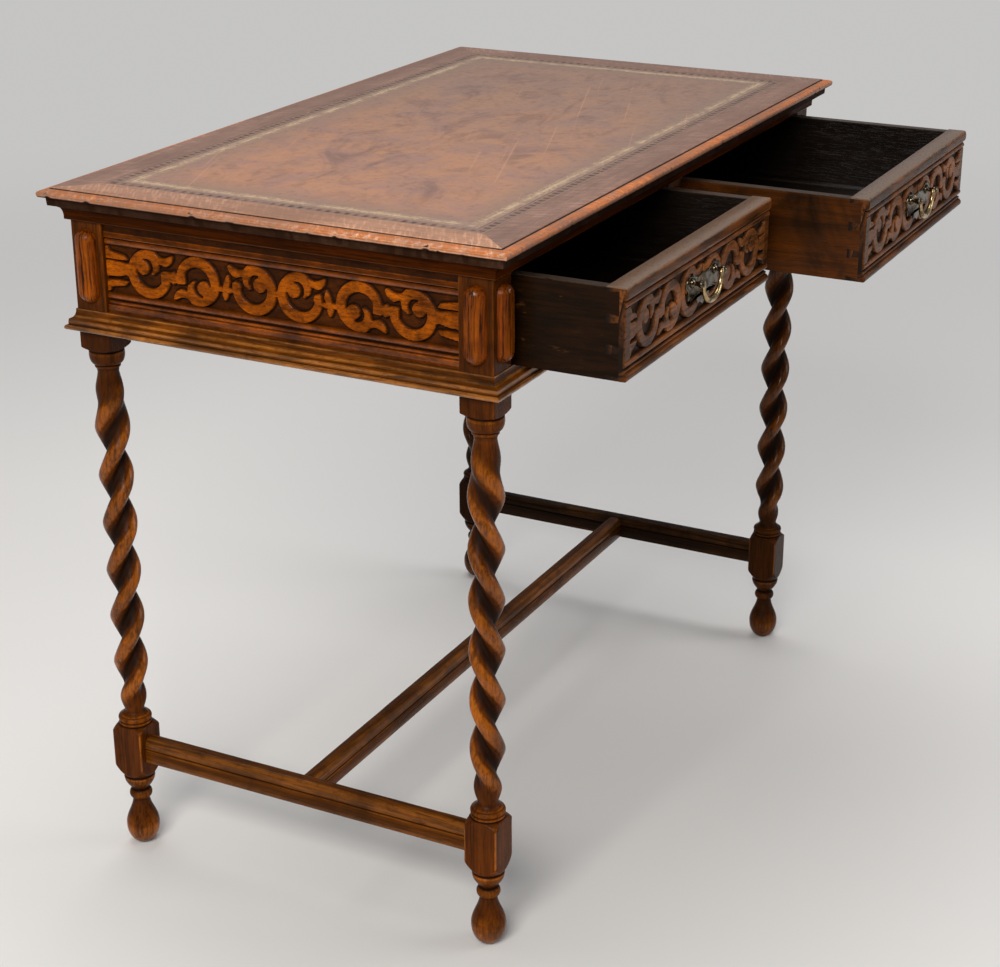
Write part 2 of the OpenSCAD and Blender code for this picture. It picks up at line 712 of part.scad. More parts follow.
module drawer_front(side) color(oak)
  drawer_at(side)
    difference() {
      union() {
        translate([-drawer_w / 2, -post_y, 0])
          rotate([90, 0, 90])
            linear_extrude(drawer_w)
              polygon([for (p = drawer_section) [-p[0], p[1]]]);
        // plain margins beside the carved field
        for (s = [-1, 1])
          translate([s * (drawer_w / 2 - field_margin / 2) - field_margin / 2, -post_y + 1 + ground_sink - relief, field_low - 0.5])
            cube([field_margin, front_t / 2, field_h + 1]);
        translate([0, -post_y + 1 + ground_sink + 0.5, field_z])
          rotate([90, 0, 0])
            linear_extrude(relief + 0.5)
              intersection() {
                for (s = [0, 1]) mirror([s, 0]) drawer_strapwork(field_half);
                square([2 * field_half, field_h], center = true);
              }
      }
      for (s = [-1, 1])
        for (k = [0:tails - 1])
          translate([s > 0 ? drawer_w / 2 - side_t - tenon_gap : -drawer_w / 2 - 1, -post_y + front_t, 0])
            rotate([90, 0, 90])
              linear_extrude(side_t + tenon_gap + 1) tail(k, tenon_gap);
      // groove for the bottom
      translate([-drawer_w / 2 + side_t, -post_y + front_t - 6, bottom_z - tenon_gap])
        cube([drawer_w - 2 * side_t, 7, bottom_t + 2 * tenon_gap]);
      for (s = [-1, 1])
        translate([s * post_pitch / 2, -post_y, handle_z])
          rotate([-90, 0, 0])
            cylinder(h = 3 * front_t, r = shank_r + 0.3, center = true, $fn = 32);
    }

// out is -1 for the left-hand side of a drawer and 1 for the right-hand side
module drawer_side(side, out) color(drawer_oak)
  drawer_at(side)
    translate([out * (drawer_w - side_t) / 2 - side_t / 2, 0, 0]) {
      translate([0, -post_y + front_t, drawer_z])
        cube([side_t, drawer_l - front_t, side_h]);
      for (k = [0:tails - 1])
        translate([0, -post_y + front_t, 0])
          rotate([90, 0, 90])
            linear_extrude(side_t) tail(k, 0);
    }

drawer_end = drawer_l - post_y;
back_y = drawer_end - 8 - back_t;
back_top = drawer_z + side_h - 8;

module drawer_back(side) color(drawer_oak)
  drawer_at(side)
    translate([-drawer_w / 2 + side_t, back_y, bottom_z + bottom_t])
      cube([drawer_w - 2 * side_t, back_t, back_top - bottom_z - bottom_t]);

groove_d = 6;

module drawer_bottom(side) color(drawer_oak)
  drawer_at(side)
    translate([-drawer_w / 2 + side_t + slip_w - groove_d + tenon_gap, -post_y + front_t - 5.8, bottom_z])
      cube([drawer_w - 2 * (side_t + slip_w - groove_d + tenon_gap), drawer_end - 8 + post_y - front_t + 5.8, bottom_t]);

// Slips along the foot of the sides, grooved for the bottom
slip_section = concat(
  [[0, -bottom_up + 0.4], [slip_w, -bottom_up + 0.4], [slip_w, -tenon_gap], [slip_w - groove_d, -tenon_gap],
   [slip_w - groove_d, bottom_t + tenon_gap], [slip_w, bottom_t + tenon_gap]],
  arc([slip_w - 6, bottom_t + 0.2], 6, slip_up, 10, 90, 5),
  [[0, bottom_t + slip_up + 0.2]]
);

module drawer_slips(side) color(drawer_oak)
  drawer_at(side)
    for (s = [0, 1])
      mirror([s, 0, 0])
        translate([-drawer_w / 2 + side_t, back_y - 0.2, bottom_z])
          rotate([90, 0, 0])
            linear_extrude(back_y - 0.4 + post_y - front_t) polygon(slip_section);

// Handles

// Drawer face at the handle: the backplate lies on the carving
plate_y = -post_y + 1 + ground_sink - relief;

module handle_at(side) drawer_at(side) translate([0, 0, handle_z]) children();

// Outline of the backplate: a hanging shield with a point, two lobes below and an ear and a
// horn at each side, pierced twice. The posts stand on it at the height of its ears.
// Right half of the backplate's edge, from the middle of its top round to the middle of its foot
function plate_half(wing) = concat(
  [[0, 4.6], [4, 3.4], [9, 2.8], [14, 3.4], [20, 5.2], [24.5, 5.4]],
  arc([post_pitch / 2 + 1.5, 5], 4.6, 4.6, 160, 20, 6),
  [[wing - 7, 4.4]],
  arc([wing - 5, 0], 5, 5.4, 100, -80, 8),
  [[wing - 6, -7]],
  arc([wing - 11, -13], 5.6, 5.6, 40, -130, 9),
  [[26, -15.2], [23, -13.4], [19.5, -13.8], [16.6, -15.8]],
  arc([10, -19.4], 5.6, 5.6, 30, -110, 7),
  [[4.6, -25.2], [0, -28.5]]
);

module plate_outline() {
  half = plate_half(plate_w / 2);
  last = len(half) - 1;
  polygon(concat(half, [for (i = [last - 1:-1:1]) [-half[i][0], half[i][1]]]));
}

module handle_plate(side) color(brass)
  handle_at(side)
    translate([0, plate_y, 0])
      rotate([90, 0, 0])
        difference() {
          linear_extrude(plate_t) plate_outline();
          for (s = [-1, 1])
            translate([s * post_pitch / 2, 0, -1])
              cylinder(h = plate_t + 2, r = shank_r + 0.1, $fn = 32);
        }

pin_gap = 0.1;
ball_y = -post_y - ball_out;
stem_l = plate_y - plate_t - ball_y;

// Turned post as [radius, distance from the ball centre towards the drawer]
function post_outline() = concat(
  arc([0, 0], ball_r, ball_r, -90, 50, 10),
  [[2.3, stem_l * 0.5], [2.5, stem_l - 2.6], [5.2, stem_l - 1.4], [5.2, stem_l]],
  [[shank_r, stem_l], [shank_r, stem_l + front_t + plate_t + 4], [0, stem_l + front_t + plate_t + 4]]
);

module handle_posts(side) color(brass)
  handle_at(side)
    for (s = [-1, 1])
      translate([s * post_pitch / 2, ball_y, 0])
        difference() {
          rotate([-90, 0, 0]) rotate_extrude($fn = 40) polygon(post_outline());
          rotate([0, 90, 0]) cylinder(h = 3 * ball_r, r = bail_end_r + pin_gap, center = true, $fn = 32);
        }

module handle_nuts(side) color(brass)
  handle_at(side)
    for (s = [-1, 1])
      translate([s * post_pitch / 2, -post_y + front_t, 0])
        rotate([-90, 0, 0])
          difference() {
            cylinder(h = 2.4, r = 4.2, $fn = 6);
            translate([0, 0, -1]) cylinder(h = 5, r = shank_r + 0.05, $fn = 32);
          }

// Bail: a crescent that hangs from the balls, thin at its ends and full at its middle.
// It comes in along X through each ball, turns down and runs round as a half ellipse.
bail_half = post_pitch / 2 - ball_r - 1.6;
bail_sides = 10;
bail_steps = 22;
bail_start = 1.5;
pin_l = ball_r + 3.2;

function bail_mid(t) = [-bail_half * cos(t) , -bail_drop * pow(sin(t), 0.85)];
function bail_thick(t) = bail_end_r + 0.4 + (bail_r - bail_end_r - 0.4) * pow(sin(t), 1.6);
function bail_dir(t) = let (a = bail_mid(t - bail_start / 2), b = bail_mid(t + bail_start / 2), v = b - a) v / norm(v);

module bail_body() {
  points = [for (k = [0:bail_steps]) for (i = [0:bail_sides - 1])
    let (t = bail_start + (180 - 2 * bail_start) * k / bail_steps, m = bail_mid(t), v = bail_dir(t), r = bail_thick(t),
         a = 360 * i / bail_sides)
    [m[0] - v[1] * r * cos(a), -r * sin(a), m[1] + v[0] * r * cos(a)]];
  first = [for (i = [0:bail_sides - 1]) i];
  last = [for (i = [bail_sides - 1:-1:0]) bail_steps * bail_sides + i];
  walls = [for (k = [0:bail_steps - 1]) for (i = [0:bail_sides - 1])
    let (j = (i + 1) % bail_sides, a = k * bail_sides + i, b = k * bail_sides + j,
         c = a + bail_sides, d = b + bail_sides)
    each [[a, c, b], [b, c, d]]];
  polyhedron(points, concat([first], walls, [last]), convexity = 6);
}

module handle_bail(side) color(brass)
  handle_at(side)
    translate([0, ball_y, 0]) {
      bail_body();
      for (s = [-1, 1]) {
        // knuckle at each end, and the pin that turns in the ball
        translate([s * bail_half, 0, 0]) sphere(bail_end_r + 0.7, $fn = 32);
        translate([s * (bail_half + pin_l / 2), 0, 0])
          rotate([0, 90, 0]) cylinder(h = pin_l, r = bail_end_r, center = true, $fn = 32);
      }
    }

placed() leather_skin();
placed() top_board();
placed() top_border(0);  // top_border_front
placed() top_border(1);  // top_border_right
placed() top_border(2);  // top_border_back
placed() top_border(3);  // top_border_left
placed() bed_moulding(0);  // bed_moulding_front
placed() bed_moulding(1);  // bed_moulding_right
placed() bed_moulding(2);  // bed_moulding_back
placed() bed_moulding(3);  // bed_moulding_left
placed() base_moulding(0);  // base_moulding_front
placed() base_moulding(1);  // base_moulding_right
placed() base_moulding(2);  // base_moulding_back
placed() base_moulding(3);  // base_moulding_left
placed() leg(-1, -1, -1, twist_start_a);  // leg_front_left
placed() leg(1, -1, 1, twist_start_b);  // leg_front_right
placed() leg(-1, 1, 1, twist_start_c);  // leg_back_left
placed() leg(1, 1, -1, twist_start_a);  // leg_back_right
placed() end_panel(-1);  // end_panel_left
placed() end_panel(1);  // end_panel_right
placed() back_panel();
placed() front_top_rail();
placed() front_bottom_rail();
placed() centre_stile();
placed() half_rounds_end(-1);  // half_rounds_left
placed() half_rounds_end(1);  // half_rounds_right
placed() half_rounds_front();
placed() side_stretcher(-1);  // side_stretcher_left
placed() side_stretcher(1);  // side_stretcher_right
placed() centre_stretcher();
placed() runner(-side_bar_x, runner_w, in_y);  // drawer_runner_left
placed() runner(0, middle_bar_w, board_in_y);  // drawer_runner_centre
placed() runner(side_bar_x, runner_w, in_y);  // drawer_runner_right
placed() drawer_guides();
placed() kicker(-side_bar_x, runner_w, in_y);  // drawer_kicker_left
placed() kicker(0, middle_bar_w, board_in_y);  // drawer_kicker_centre
placed() kicker(side_bar_x, runner_w, in_y);  // drawer_kicker_right
placed() drawer_stops();
placed() glue_blocks();
placed() drawer_front(-1);  // left_drawer_front
placed() drawer_side(-1, -1);  // left_drawer_side_outer
placed() drawer_side(-1, 1);  // left_drawer_side_inner
placed() drawer_back(-1);  // left_drawer_back
placed() drawer_bottom(-1);  // left_drawer_bottom
placed() drawer_slips(-1);  // left_drawer_slips
placed() handle_plate(-1);  // left_handle_plate
placed() handle_posts(-1);  // left_handle_posts
placed() handle_nuts(-1);  // left_handle_nuts
placed() handle_bail(-1);  // left_handle_bail
placed() drawer_front(1);  // right_drawer_front
placed() drawer_side(1, 1);  // right_drawer_side_outer
placed() drawer_side(1, -1);  // right_drawer_side_inner
placed() drawer_back(1);  // right_drawer_back
placed() drawer_bottom(1);  // right_drawer_bottom
placed() drawer_slips(1);  // right_drawer_slips
placed() handle_plate(1);  // right_handle_plate
placed() handle_posts(1);  // right_handle_posts
placed() handle_nuts(1);  // right_handle_nuts
placed() handle_bail(1);  // right_handle_bail
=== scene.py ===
import math

import bmesh
import bpy
from mathutils import Matrix, Vector, noise


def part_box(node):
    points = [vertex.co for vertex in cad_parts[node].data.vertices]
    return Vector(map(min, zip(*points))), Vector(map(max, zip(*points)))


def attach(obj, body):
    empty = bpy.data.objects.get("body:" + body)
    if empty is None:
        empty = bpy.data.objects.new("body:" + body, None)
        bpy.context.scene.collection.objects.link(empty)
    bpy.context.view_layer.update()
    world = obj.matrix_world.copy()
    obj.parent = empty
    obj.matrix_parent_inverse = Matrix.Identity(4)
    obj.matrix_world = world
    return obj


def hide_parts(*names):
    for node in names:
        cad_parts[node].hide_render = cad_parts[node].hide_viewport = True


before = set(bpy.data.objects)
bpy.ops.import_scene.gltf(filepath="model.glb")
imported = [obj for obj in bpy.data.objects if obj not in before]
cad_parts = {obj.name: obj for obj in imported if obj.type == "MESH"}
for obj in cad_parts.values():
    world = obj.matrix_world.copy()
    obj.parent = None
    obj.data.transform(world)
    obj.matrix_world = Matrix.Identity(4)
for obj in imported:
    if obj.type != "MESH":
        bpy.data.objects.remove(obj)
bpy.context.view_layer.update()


def lowOf(node):
    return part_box(node)[0] * 1000


def highOf(node):
    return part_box(node)[1] * 1000


deskY = (lowOf("top_board").y + highOf("top_board").y) / 2
level = {
    "surface": highOf("leather_skin").z,
    "topUnder": highOf("leg_front_left").z,
    "base": lowOf("base_moulding_front").z,
    "rail": highOf("front_bottom_rail").z,
    "openingTop": lowOf("front_top_rail").z,
    "bed": lowOf("bed_moulding_front").z,
    "postX": -lowOf("leg_front_left").x,
    "postY": highOf("leg_back_left").y - deskY,
    "stock": highOf("leg_front_left").x - lowOf("leg_front_left").x,
    "halfX": highOf("top_border_front").x,
    "halfY": highOf("top_border_back").y - deskY,
    "leatherX": highOf("leather_skin").x,
    "leatherY": highOf("leather_skin").y - deskY,
}
level["field"] = level["rail"] + (level["openingTop"] - level["rail"]) / 2 - 1


def place(x, y, z):
    return Vector((x, deskY + y, z)) / 1000


def clamp(value, low=0.0, high=1.0):
    return min(high, max(low, value))


def ease(value):
    t = clamp(value)
    return t * t * (3 - 2 * t)


def wave(x, y, z, size):
    return noise.noise(Vector((x, y, z)) / size)


def arcPoints(centre, rx, ry, start, stop, steps):
    angles = [math.radians(start + (stop - start) * i / steps) for i in range(steps + 1)]
    return [(centre[0] + rx * math.cos(a), centre[1] + ry * math.sin(a)) for a in angles]


# Shader helpers: each finds its node tree from the sockets it is given

def feed(socket, value):
    if isinstance(value, bpy.types.NodeSocket):
        socket.id_data.links.new(value, socket)
    else:
        socket.default_value = (*value, 1.0) if socket.type == "RGBA" else value


def addNode(tree, kind, inputs=(), **settings):
    node = tree.nodes.new(kind)
    for key, value in settings.items():
        setattr(node, key, value)
    for socket, value in dict(inputs).items():
        feed(node.inputs[socket], value)
    return node


def maths(operation, a, b=0.0, limit=False):
    tree = (a if isinstance(a, bpy.types.NodeSocket) else b).id_data
    inputs = {0: a} if operation in ("SINE", "ABSOLUTE") else {0: a, 1: b}
    return addNode(tree, "ShaderNodeMath", inputs, operation=operation, use_clamp=limit).outputs[0]


def plus(a, b, limit=False):
    return maths("ADD", a, b, limit)


def minus(a, b, limit=False):
    return maths("SUBTRACT", a, b, limit)


def times(a, b, limit=False):
    return maths("MULTIPLY", a, b, limit)


def awayFrom(value, middle):
    return maths("ABSOLUTE", minus(value, middle))


def vectorMaths(operation, vector, other):
    inputs = {0: vector, 1: other}
    return addNode(vector.id_data, "ShaderNodeVectorMath", inputs, operation=operation).outputs[0]


def stretch(vector, factors):
    return vectorMaths("MULTIPLY", vector, factors)


def turnedBy(vector, angles):
    return addNode(vector.id_data, "ShaderNodeMapping", {"Vector": vector, "Rotation": angles}).outputs[0]


def partOf(vector, axis):
    return addNode(vector.id_data, "ShaderNodeSeparateXYZ", {0: vector}).outputs[axis]


def cloud(vector, scale, detail=3.0, rough=0.55, distortion=0.0):
    inputs = {"Vector": vector, "Scale": scale, "Detail": detail, "Roughness": rough}
    inputs["Distortion"] = distortion
    return addNode(vector.id_data, "ShaderNodeTexNoise", inputs).outputs["Fac"]


def mask(value, low, high):
    inputs = {0: value, 1: low, 2: high}
    node = addNode(value.id_data, "ShaderNodeMapRange", inputs, interpolation_type="SMOOTHSTEP")
    return node.outputs[0]


def blendOf(amount, a, b, kind="MIX"):
    inputs = {0: amount, 6: a, 7: b}
    return addNode(amount.id_data, "ShaderNodeMix", inputs, data_type="RGBA", blend_type=kind).outputs[2]


def bumpOf(height, strength, distance=0.0005):
    inputs = {"Height": height, "Strength": strength, "Distance": distance}
    return addNode(height.id_data, "ShaderNodeBump", inputs).outputs[0]


def attribute(tree, name):
    return addNode(tree, "ShaderNodeAttribute", attribute_name=name).outputs["Fac"]


def newMaterial(name):
    made = bpy.data.materials.new(name)
    made.use_nodes = True
    spot = addNode(made.node_tree, "ShaderNodeTexCoord").outputs["Object"]
    return made, made.node_tree, made.node_tree.nodes["Principled BSDF"].inputs, spot


def newGroup(name, inputs, outputs):
    group = bpy.data.node_groups.new(name, "ShaderNodeTree")
    kinds = {"v": "NodeSocketVector", "c": "NodeSocketColor", "f": "NodeSocketFloat"}
    for labels, way in ((inputs, "INPUT"), (outputs, "OUTPUT")):
        for label, kind in labels.items():
            group.interface.new_socket(label, in_out=way, socket_type=kinds[kind])
    return group, group.nodes.new("NodeGroupInput").outputs, group.nodes.new("NodeGroupOutput").inputs


# Oak: X of the vector runs along the grain. Soft figure, dark growth streaks, short pores.
oakGroup, given, out = newGroup(
    "oakGrain",
    {"Vector": "v", "Pale": "c", "Deep": "c", "Streaks": "f", "Fleck": "f"},
    {"Color": "c", "Height": "f", "Roughness": "f"},
)
grain = given["Vector"]
sway = cloud(stretch(grain, (1.6, 7.0, 7.0)), 1.0, 2.0)
sideways = addNode(oakGroup, "ShaderNodeCombineXYZ", {0: 0.0, 1: sway, 2: sway}).outputs[0]
swayed = vectorMaths("ADD", grain, stretch(sideways, (0.0, 0.02, 0.02)))
broad = cloud(stretch(swayed, (5.0, 62.0, 62.0)), 1.0, 4.0, 0.6)
streak = cloud(stretch(swayed, (9.0, 300.0, 300.0)), 1.0, 4.0, 0.65)
pores = cloud(stretch(swayed, (55.0, 1500.0, 1500.0)), 1.0, 2.0, 0.6)
patches = cloud(stretch(grain, (4.0, 12.0, 12.0)), 1.0, 3.0, 0.6)
poreMask = mask(pores, 0.56, 0.66)
figure = plus(times(mask(broad, 0.36, 0.66), 0.45), times(mask(streak, 0.44, 0.62), 0.5))
paleShare = minus(1.0, times(given["Streaks"], figure), True)
paleShare = times(paleShare, plus(times(mask(patches, 0.3, 0.65), 0.55), 0.5), True)
tinted = blendOf(paleShare, given["Deep"], given["Pale"])
pored = blendOf(times(poreMask, 0.6), tinted, given["Deep"])
# silver figure: short pale marks that lie aslant across the grain
aslant = turnedBy(grain, (0, 0, math.radians(62)))
fleck = cloud(stretch(aslant, (42.0, 330.0, 330.0)), 1.0, 2.0, 0.5, 0.4)
fleckShare = times(mask(fleck, 0.5, 0.64), plus(mask(patches, 0.4, 0.62), 0.35))
feed(out["Color"], blendOf(times(fleckShare, given["Fleck"], True), pored, given["Pale"], "ADD"))
feed(out["Height"], minus(times(streak, 0.7), times(poreMask, 0.9)))
feed(out["Roughness"], plus(times(poreMask, 0.2), times(patches, 0.16)))

# Age: masks for rubbed edges and for hollows full of dark wax. Worn is 0 in hollows, 0.5 on plain faces
# and 1 on edges. Where a section sets low wear in a shaded place, the dark wax colour there is painted
# shade.
ageGroup, given, out = newGroup(
    "wearWaxAndShade", {"Vector": "v", "Worn": "f"}, {"Edge": "f", "Hollow": "f", "Grime": "f"},
)
breakUp = cloud(given["Vector"], 60.0, 4.0, 0.7)
smoke = cloud(given["Vector"], 9.0, 4.0, 0.65, 0.6)
feed(out["Edge"], times(mask(given["Worn"], 0.5, 0.85), plus(mask(breakUp, 0.34, 0.56), 0.45), True))
feed(out["Hollow"], mask(plus(given["Worn"], times(breakUp, 0.12)), 0.53, 0.12))
feed(out["Grime"], mask(smoke, 0.42, 0.7))


def oakMaterial(name, along, look):
    made, tree, shader, spot = newMaterial(name)
    aged = look.get("aged", True)
    quarter = math.radians(90)
    turned = turnedBy(spot, {"x": (0, 0, 0), "y": (0, 0, quarter), "z": (0, quarter, 0)}[along])
    fibre = stretch(turned, look.get("shape", (1.0, 1.0, 1.0)))
    age = addNode(tree, "ShaderNodeGroup", {"Vector": spot}, node_tree=ageGroup)
    pale = look["pale"]
    # painted reflection on the left border: its pale colour blends to a paler one towards the front
    # corner
    if "paintedGlare" in look:
        # paler towards the front corner, as in the photograph
        pale = blendOf(mask(partOf(spot, 1), look["paintedGlareFrom"], look["paintedGlareTo"]), pale, look["paintedGlare"])
    if aged:
        worn = attribute(tree, "worn")
        feed(age.inputs["Worn"], worn)
        pale = blendOf(times(age.outputs["Edge"], look.get("rub", 0.8)), pale, look["rubbed"])
    inputs = {"Vector": fibre, "Pale": pale, "Deep": look["deep"]}
    inputs |= {"Streaks": look.get("streaks", 1.0), "Fleck": look.get("fleck", 0.0)}
    wood = addNode(tree, "ShaderNodeGroup", inputs, node_tree=oakGroup).outputs
    surface = blendOf(times(age.outputs["Grime"], look.get("grime", 0.45)), wood["Color"], look["deep"])
    rough = plus(wood["Roughness"], look.get("rough", 0.26), True)
    if aged:
        # dark wax in hollows; where wear is set low for a shaded place, painted shade
        waxAndShadeShare = times(age.outputs["Hollow"], look.get("waxAndShadeShare", 0.93))
        surface = blendOf(waxAndShadeShare, surface, look.get("wax", (0.007, 0.0035, 0.002)))
        rough = plus(rough, times(age.outputs["Hollow"], 0.3), True)
    if "wisps" in look:
        wisp = cloud(stretch(fibre, (20.0, 170.0, 170.0)), 1.0, 3.0, 0.6, 0.4)
        surface = blendOf(times(mask(wisp, 0.65, 0.74), look["wisps"]), surface, look["wisp"])
    if "glint" in look:
        # polish left on edges and crests, none in hollows
        polished = mask(worn, *look["glintFrom"])
        if "glintTo" in look:
            polished = times(polished, mask(worn, look["glintTo"] + 0.06, look["glintTo"]))
        feed(shader["Coat Weight"], times(polished, look["glint"]))
        feed(shader["Coat Roughness"], look.get("glintRough", 0.14))
    if "edgeZ" in look:
        # pale line along the top arris of a plain board: rubbing with a painted highlight; on the drawer
        # fronts a grey painted sheen
        jagged = plus(partOf(spot, 2), times(wood["Height"], 0.0016))
        arris = mask(jagged, look["edgeZ"] - 0.0007, look["edgeZ"] + 0.0004)
        surface = blendOf(times(arris, 0.9), surface, look.get("paintedSheenTint", look["rubbed"]))
    feed(shader["Base Color"], surface)
    feed(shader["Roughness"], rough)
    feed(shader["Normal"], bumpOf(wood["Height"], 0.3))
    feed(shader["Specular IOR Level"], look.get("shine", 0.2))
    return made


# Heights in metres of the top edges: rubbed with a painted highlight on the drawer sides, with a grey
# painted sheen on the drawer fronts
sideTop = highOf("left_drawer_side_outer").z / 1000
frontTop = (highOf("left_drawer_front").z - 0.6) / 1000
oakLooks = {
    "strip": {
        "pale": (0.25, 0.048, 0.001), "deep": (0.018, 0.004, 0.001), "rubbed": (0.36, 0.082, 0.002),
        "streaks": 1.1, "grime": 0.5, "shine": 0.07, "rough": 0.10, "shape": (2.4, 1.9, 1.9),
        "glint": 0.9, "glintFrom": (0.78, 0.9), "glintRough": 0.1,
    },
    "leg": {
        "pale": (0.115, 0.027, 0.002), "deep": (0.012, 0.004, 0.001), "rubbed": (0.45, 0.118, 0.005),
        "streaks": 0.8, "grime": 0.6, "shine": 0.05, "rough": 0.16, "shape": (1.6, 1.2, 1.2),
        "glint": 0.4, "glintFrom": (0.6, 0.9), "glintRough": 0.16,
    },
    "board": {
        "pale": (0.130, 0.029, 0.0012), "deep": (0.014, 0.004, 0.001), "rubbed": (0.41, 0.090, 0.002),
        "rub": 0.95, "grime": 0.5, "shine": 0.04, "streaks": 0.8, "shape": (5.0, 0.8, 0.8),
        "glint": 0.8, "glintFrom": (0.55, 0.62), "glintTo": 0.74, "glintRough": 0.14,
    },
    "front": {
        "pale": (0.140, 0.043, 0.009), "deep": (0.014, 0.005, 0.001), "rubbed": (0.32, 0.100, 0.022),
        "waxAndShadeShare": 0.985, "shine": 0.1, "rough": 0.22, "shape": (2.5, 1.0, 1.0), "glint": 0.5,
        "glintFrom": (0.88, 1.0), "glintRough": 0.2, "edgeZ": frontTop,
        # grey painted sheen along the top edge of the drawer fronts
        "paintedSheenTint": (0.165, 0.105, 0.070),
    },
    "moulding": {
        "pale": (0.066, 0.0125, 0.0006), "deep": (0.010, 0.003, 0.0006), "rubbed": (0.16, 0.042, 0.003),
        "wax": (0.012, 0.004, 0.0008), "grime": 0.5, "shine": 0.01, "glint": 0.3,
        "glintFrom": (0.6, 0.8),
    },
    "base": {
        "pale": (0.195, 0.050, 0.002), "deep": (0.022, 0.007, 0.001), "rubbed": (0.46, 0.165, 0.024),
        "shine": 0.08, "rough": 0.14, "grime": 0.6, "shape": (2.0, 1.0, 1.0), "glint": 0.9,
        "glintFrom": (0.6, 0.82), "glintRough": 0.1,
    },
    "bar": {
        "pale": (0.125, 0.033, 0.002), "deep": (0.018, 0.006, 0.001), "rubbed": (0.27, 0.085, 0.010),
        "grime": 0.65, "shine": 0.05, "rough": 0.16, "streaks": 0.85, "glint": 0.3,
        "glintFrom": (0.6, 0.85),
    },
    # a darker copy of the stretcher oak for the right stretcher: painted shade
    "barPaintedShade": {
        "pale": (0.022, 0.008, 0.0015), "deep": (0.006, 0.0025, 0.001), "rubbed": (0.08, 0.030, 0.007),
        "grime": 0.65, "shine": 0.05, "rough": 0.2,
    },
    "border": {
        "pale": (0.27, 0.155, 0.115), "deep": (0.15, 0.085, 0.064), "rubbed": (0.62, 0.175, 0.032),
        "rub": 0.95, "streaks": 0.6, "rough": 0.3, "grime": 0.4, "shine": 0.03, "fleck": 0.28,
        "wax": (0.013, 0.004, 0.001), "glint": 0.42, "glintFrom": (0.3, 0.5), "glintRough": 0.34,
        "waxAndShadeShare": 0.985,
    },
    "rail": {
        "pale": (0.07, 0.024, 0.008), "deep": (0.014, 0.005, 0.002), "aged": False, "shine": 0.2,
    },
    # the drawer sides' rubbed colour draws the line along their top arris: rubbing with a painted
    # highlight
    "side": {
        "pale": (0.019, 0.0065, 0.0015), "deep": (0.004, 0.0022, 0.001),
        "rubbed": (0.038, 0.026, 0.018), "aged": False, "rough": 0.22, "shine": 0.06, "grime": 0.9,
        "edgeZ": sideTop, "shape": (2.0, 1.0, 1.0), "wisps": 0.4, "wisp": (0.11, 0.046, 0.012),
    },
    "sideWarm": {
        "pale": (0.085, 0.022, 0.002), "deep": (0.005, 0.0025, 0.001), "rubbed": (0.045, 0.030, 0.022),
        "aged": False, "rough": 0.22, "shine": 0.08, "grime": 0.95, "streaks": 0.65, "edgeZ": sideTop,
    },
    # inside and case: near-black oak for the faces inside the drawers and the carcase, painted shade
    "inside": {
        "pale": (0.010, 0.0055, 0.003), "deep": (0.003, 0.0015, 0.001), "rubbed": (0.055, 0.036, 0.025),
        "aged": False, "rough": 0.24, "shine": 0.25, "edgeZ": sideTop,
    },
    "case": {
        "pale": (0.011, 0.006, 0.003), "deep": (0.003, 0.0015, 0.001), "aged": False, "rough": 0.3,
        "shine": 0.2,
    },
}
# a darker copy of the leg oak for the right legs: painted shade
oakLooks["legFar"] = oakLooks["leg"] | {
    "pale": (0.055, 0.014, 0.001), "deep": (0.007, 0.003, 0.001), "rubbed": (0.20, 0.054, 0.003),
    "shine": 0.04, "rough": 0.18, "glint": 0.3,
}
# the left border: a paler copy of the border oak, painted light, with a painted reflection towards its
# front corner
oakLooks["borderPaintedLight"] = oakLooks["border"] | {
    "pale": (0.37, 0.195, 0.125), "deep": (0.21, 0.108, 0.070), "rubbed": (0.40, 0.108, 0.012),
    "paintedGlare": (0.50, 0.262, 0.160), "paintedGlareFrom": 0.24, "paintedGlareTo": 0.0, "glintRough": 0.3,
}
oaks = {}


def oak(look, axis):
    if (look, axis) not in oaks:
        oaks[look, axis] = oakMaterial(look + "Oak" + axis.upper(), axis, oakLooks[look])
    return oaks[look, axis]


# Leather: tan hide with purple clouds, olive towards its rim. The mesh carries the distance from
# the rim (inset) and the way along it (run), both in millimetres, for the tooled bands.
leatherLook = {
    "pale": (0.39, 0.190, 0.108), "rosy": (0.31, 0.165, 0.124), "olive": (0.222, 0.148, 0.113),
    "dark": (0.125, 0.070, 0.062), "scratch": (0.52, 0.27, 0.16), "blind": (0.060, 0.026, 0.018),
    "gilt": (0.66, 0.49, 0.29), "rough": 0.34, "giltAt": 21.0, "ropeAt": 6.0, "blindAt": (12.0, 26.5),
    "beadPitch": 10.4, "band": 32.0, "fineStep": 0.8, "wideStep": 5,
}


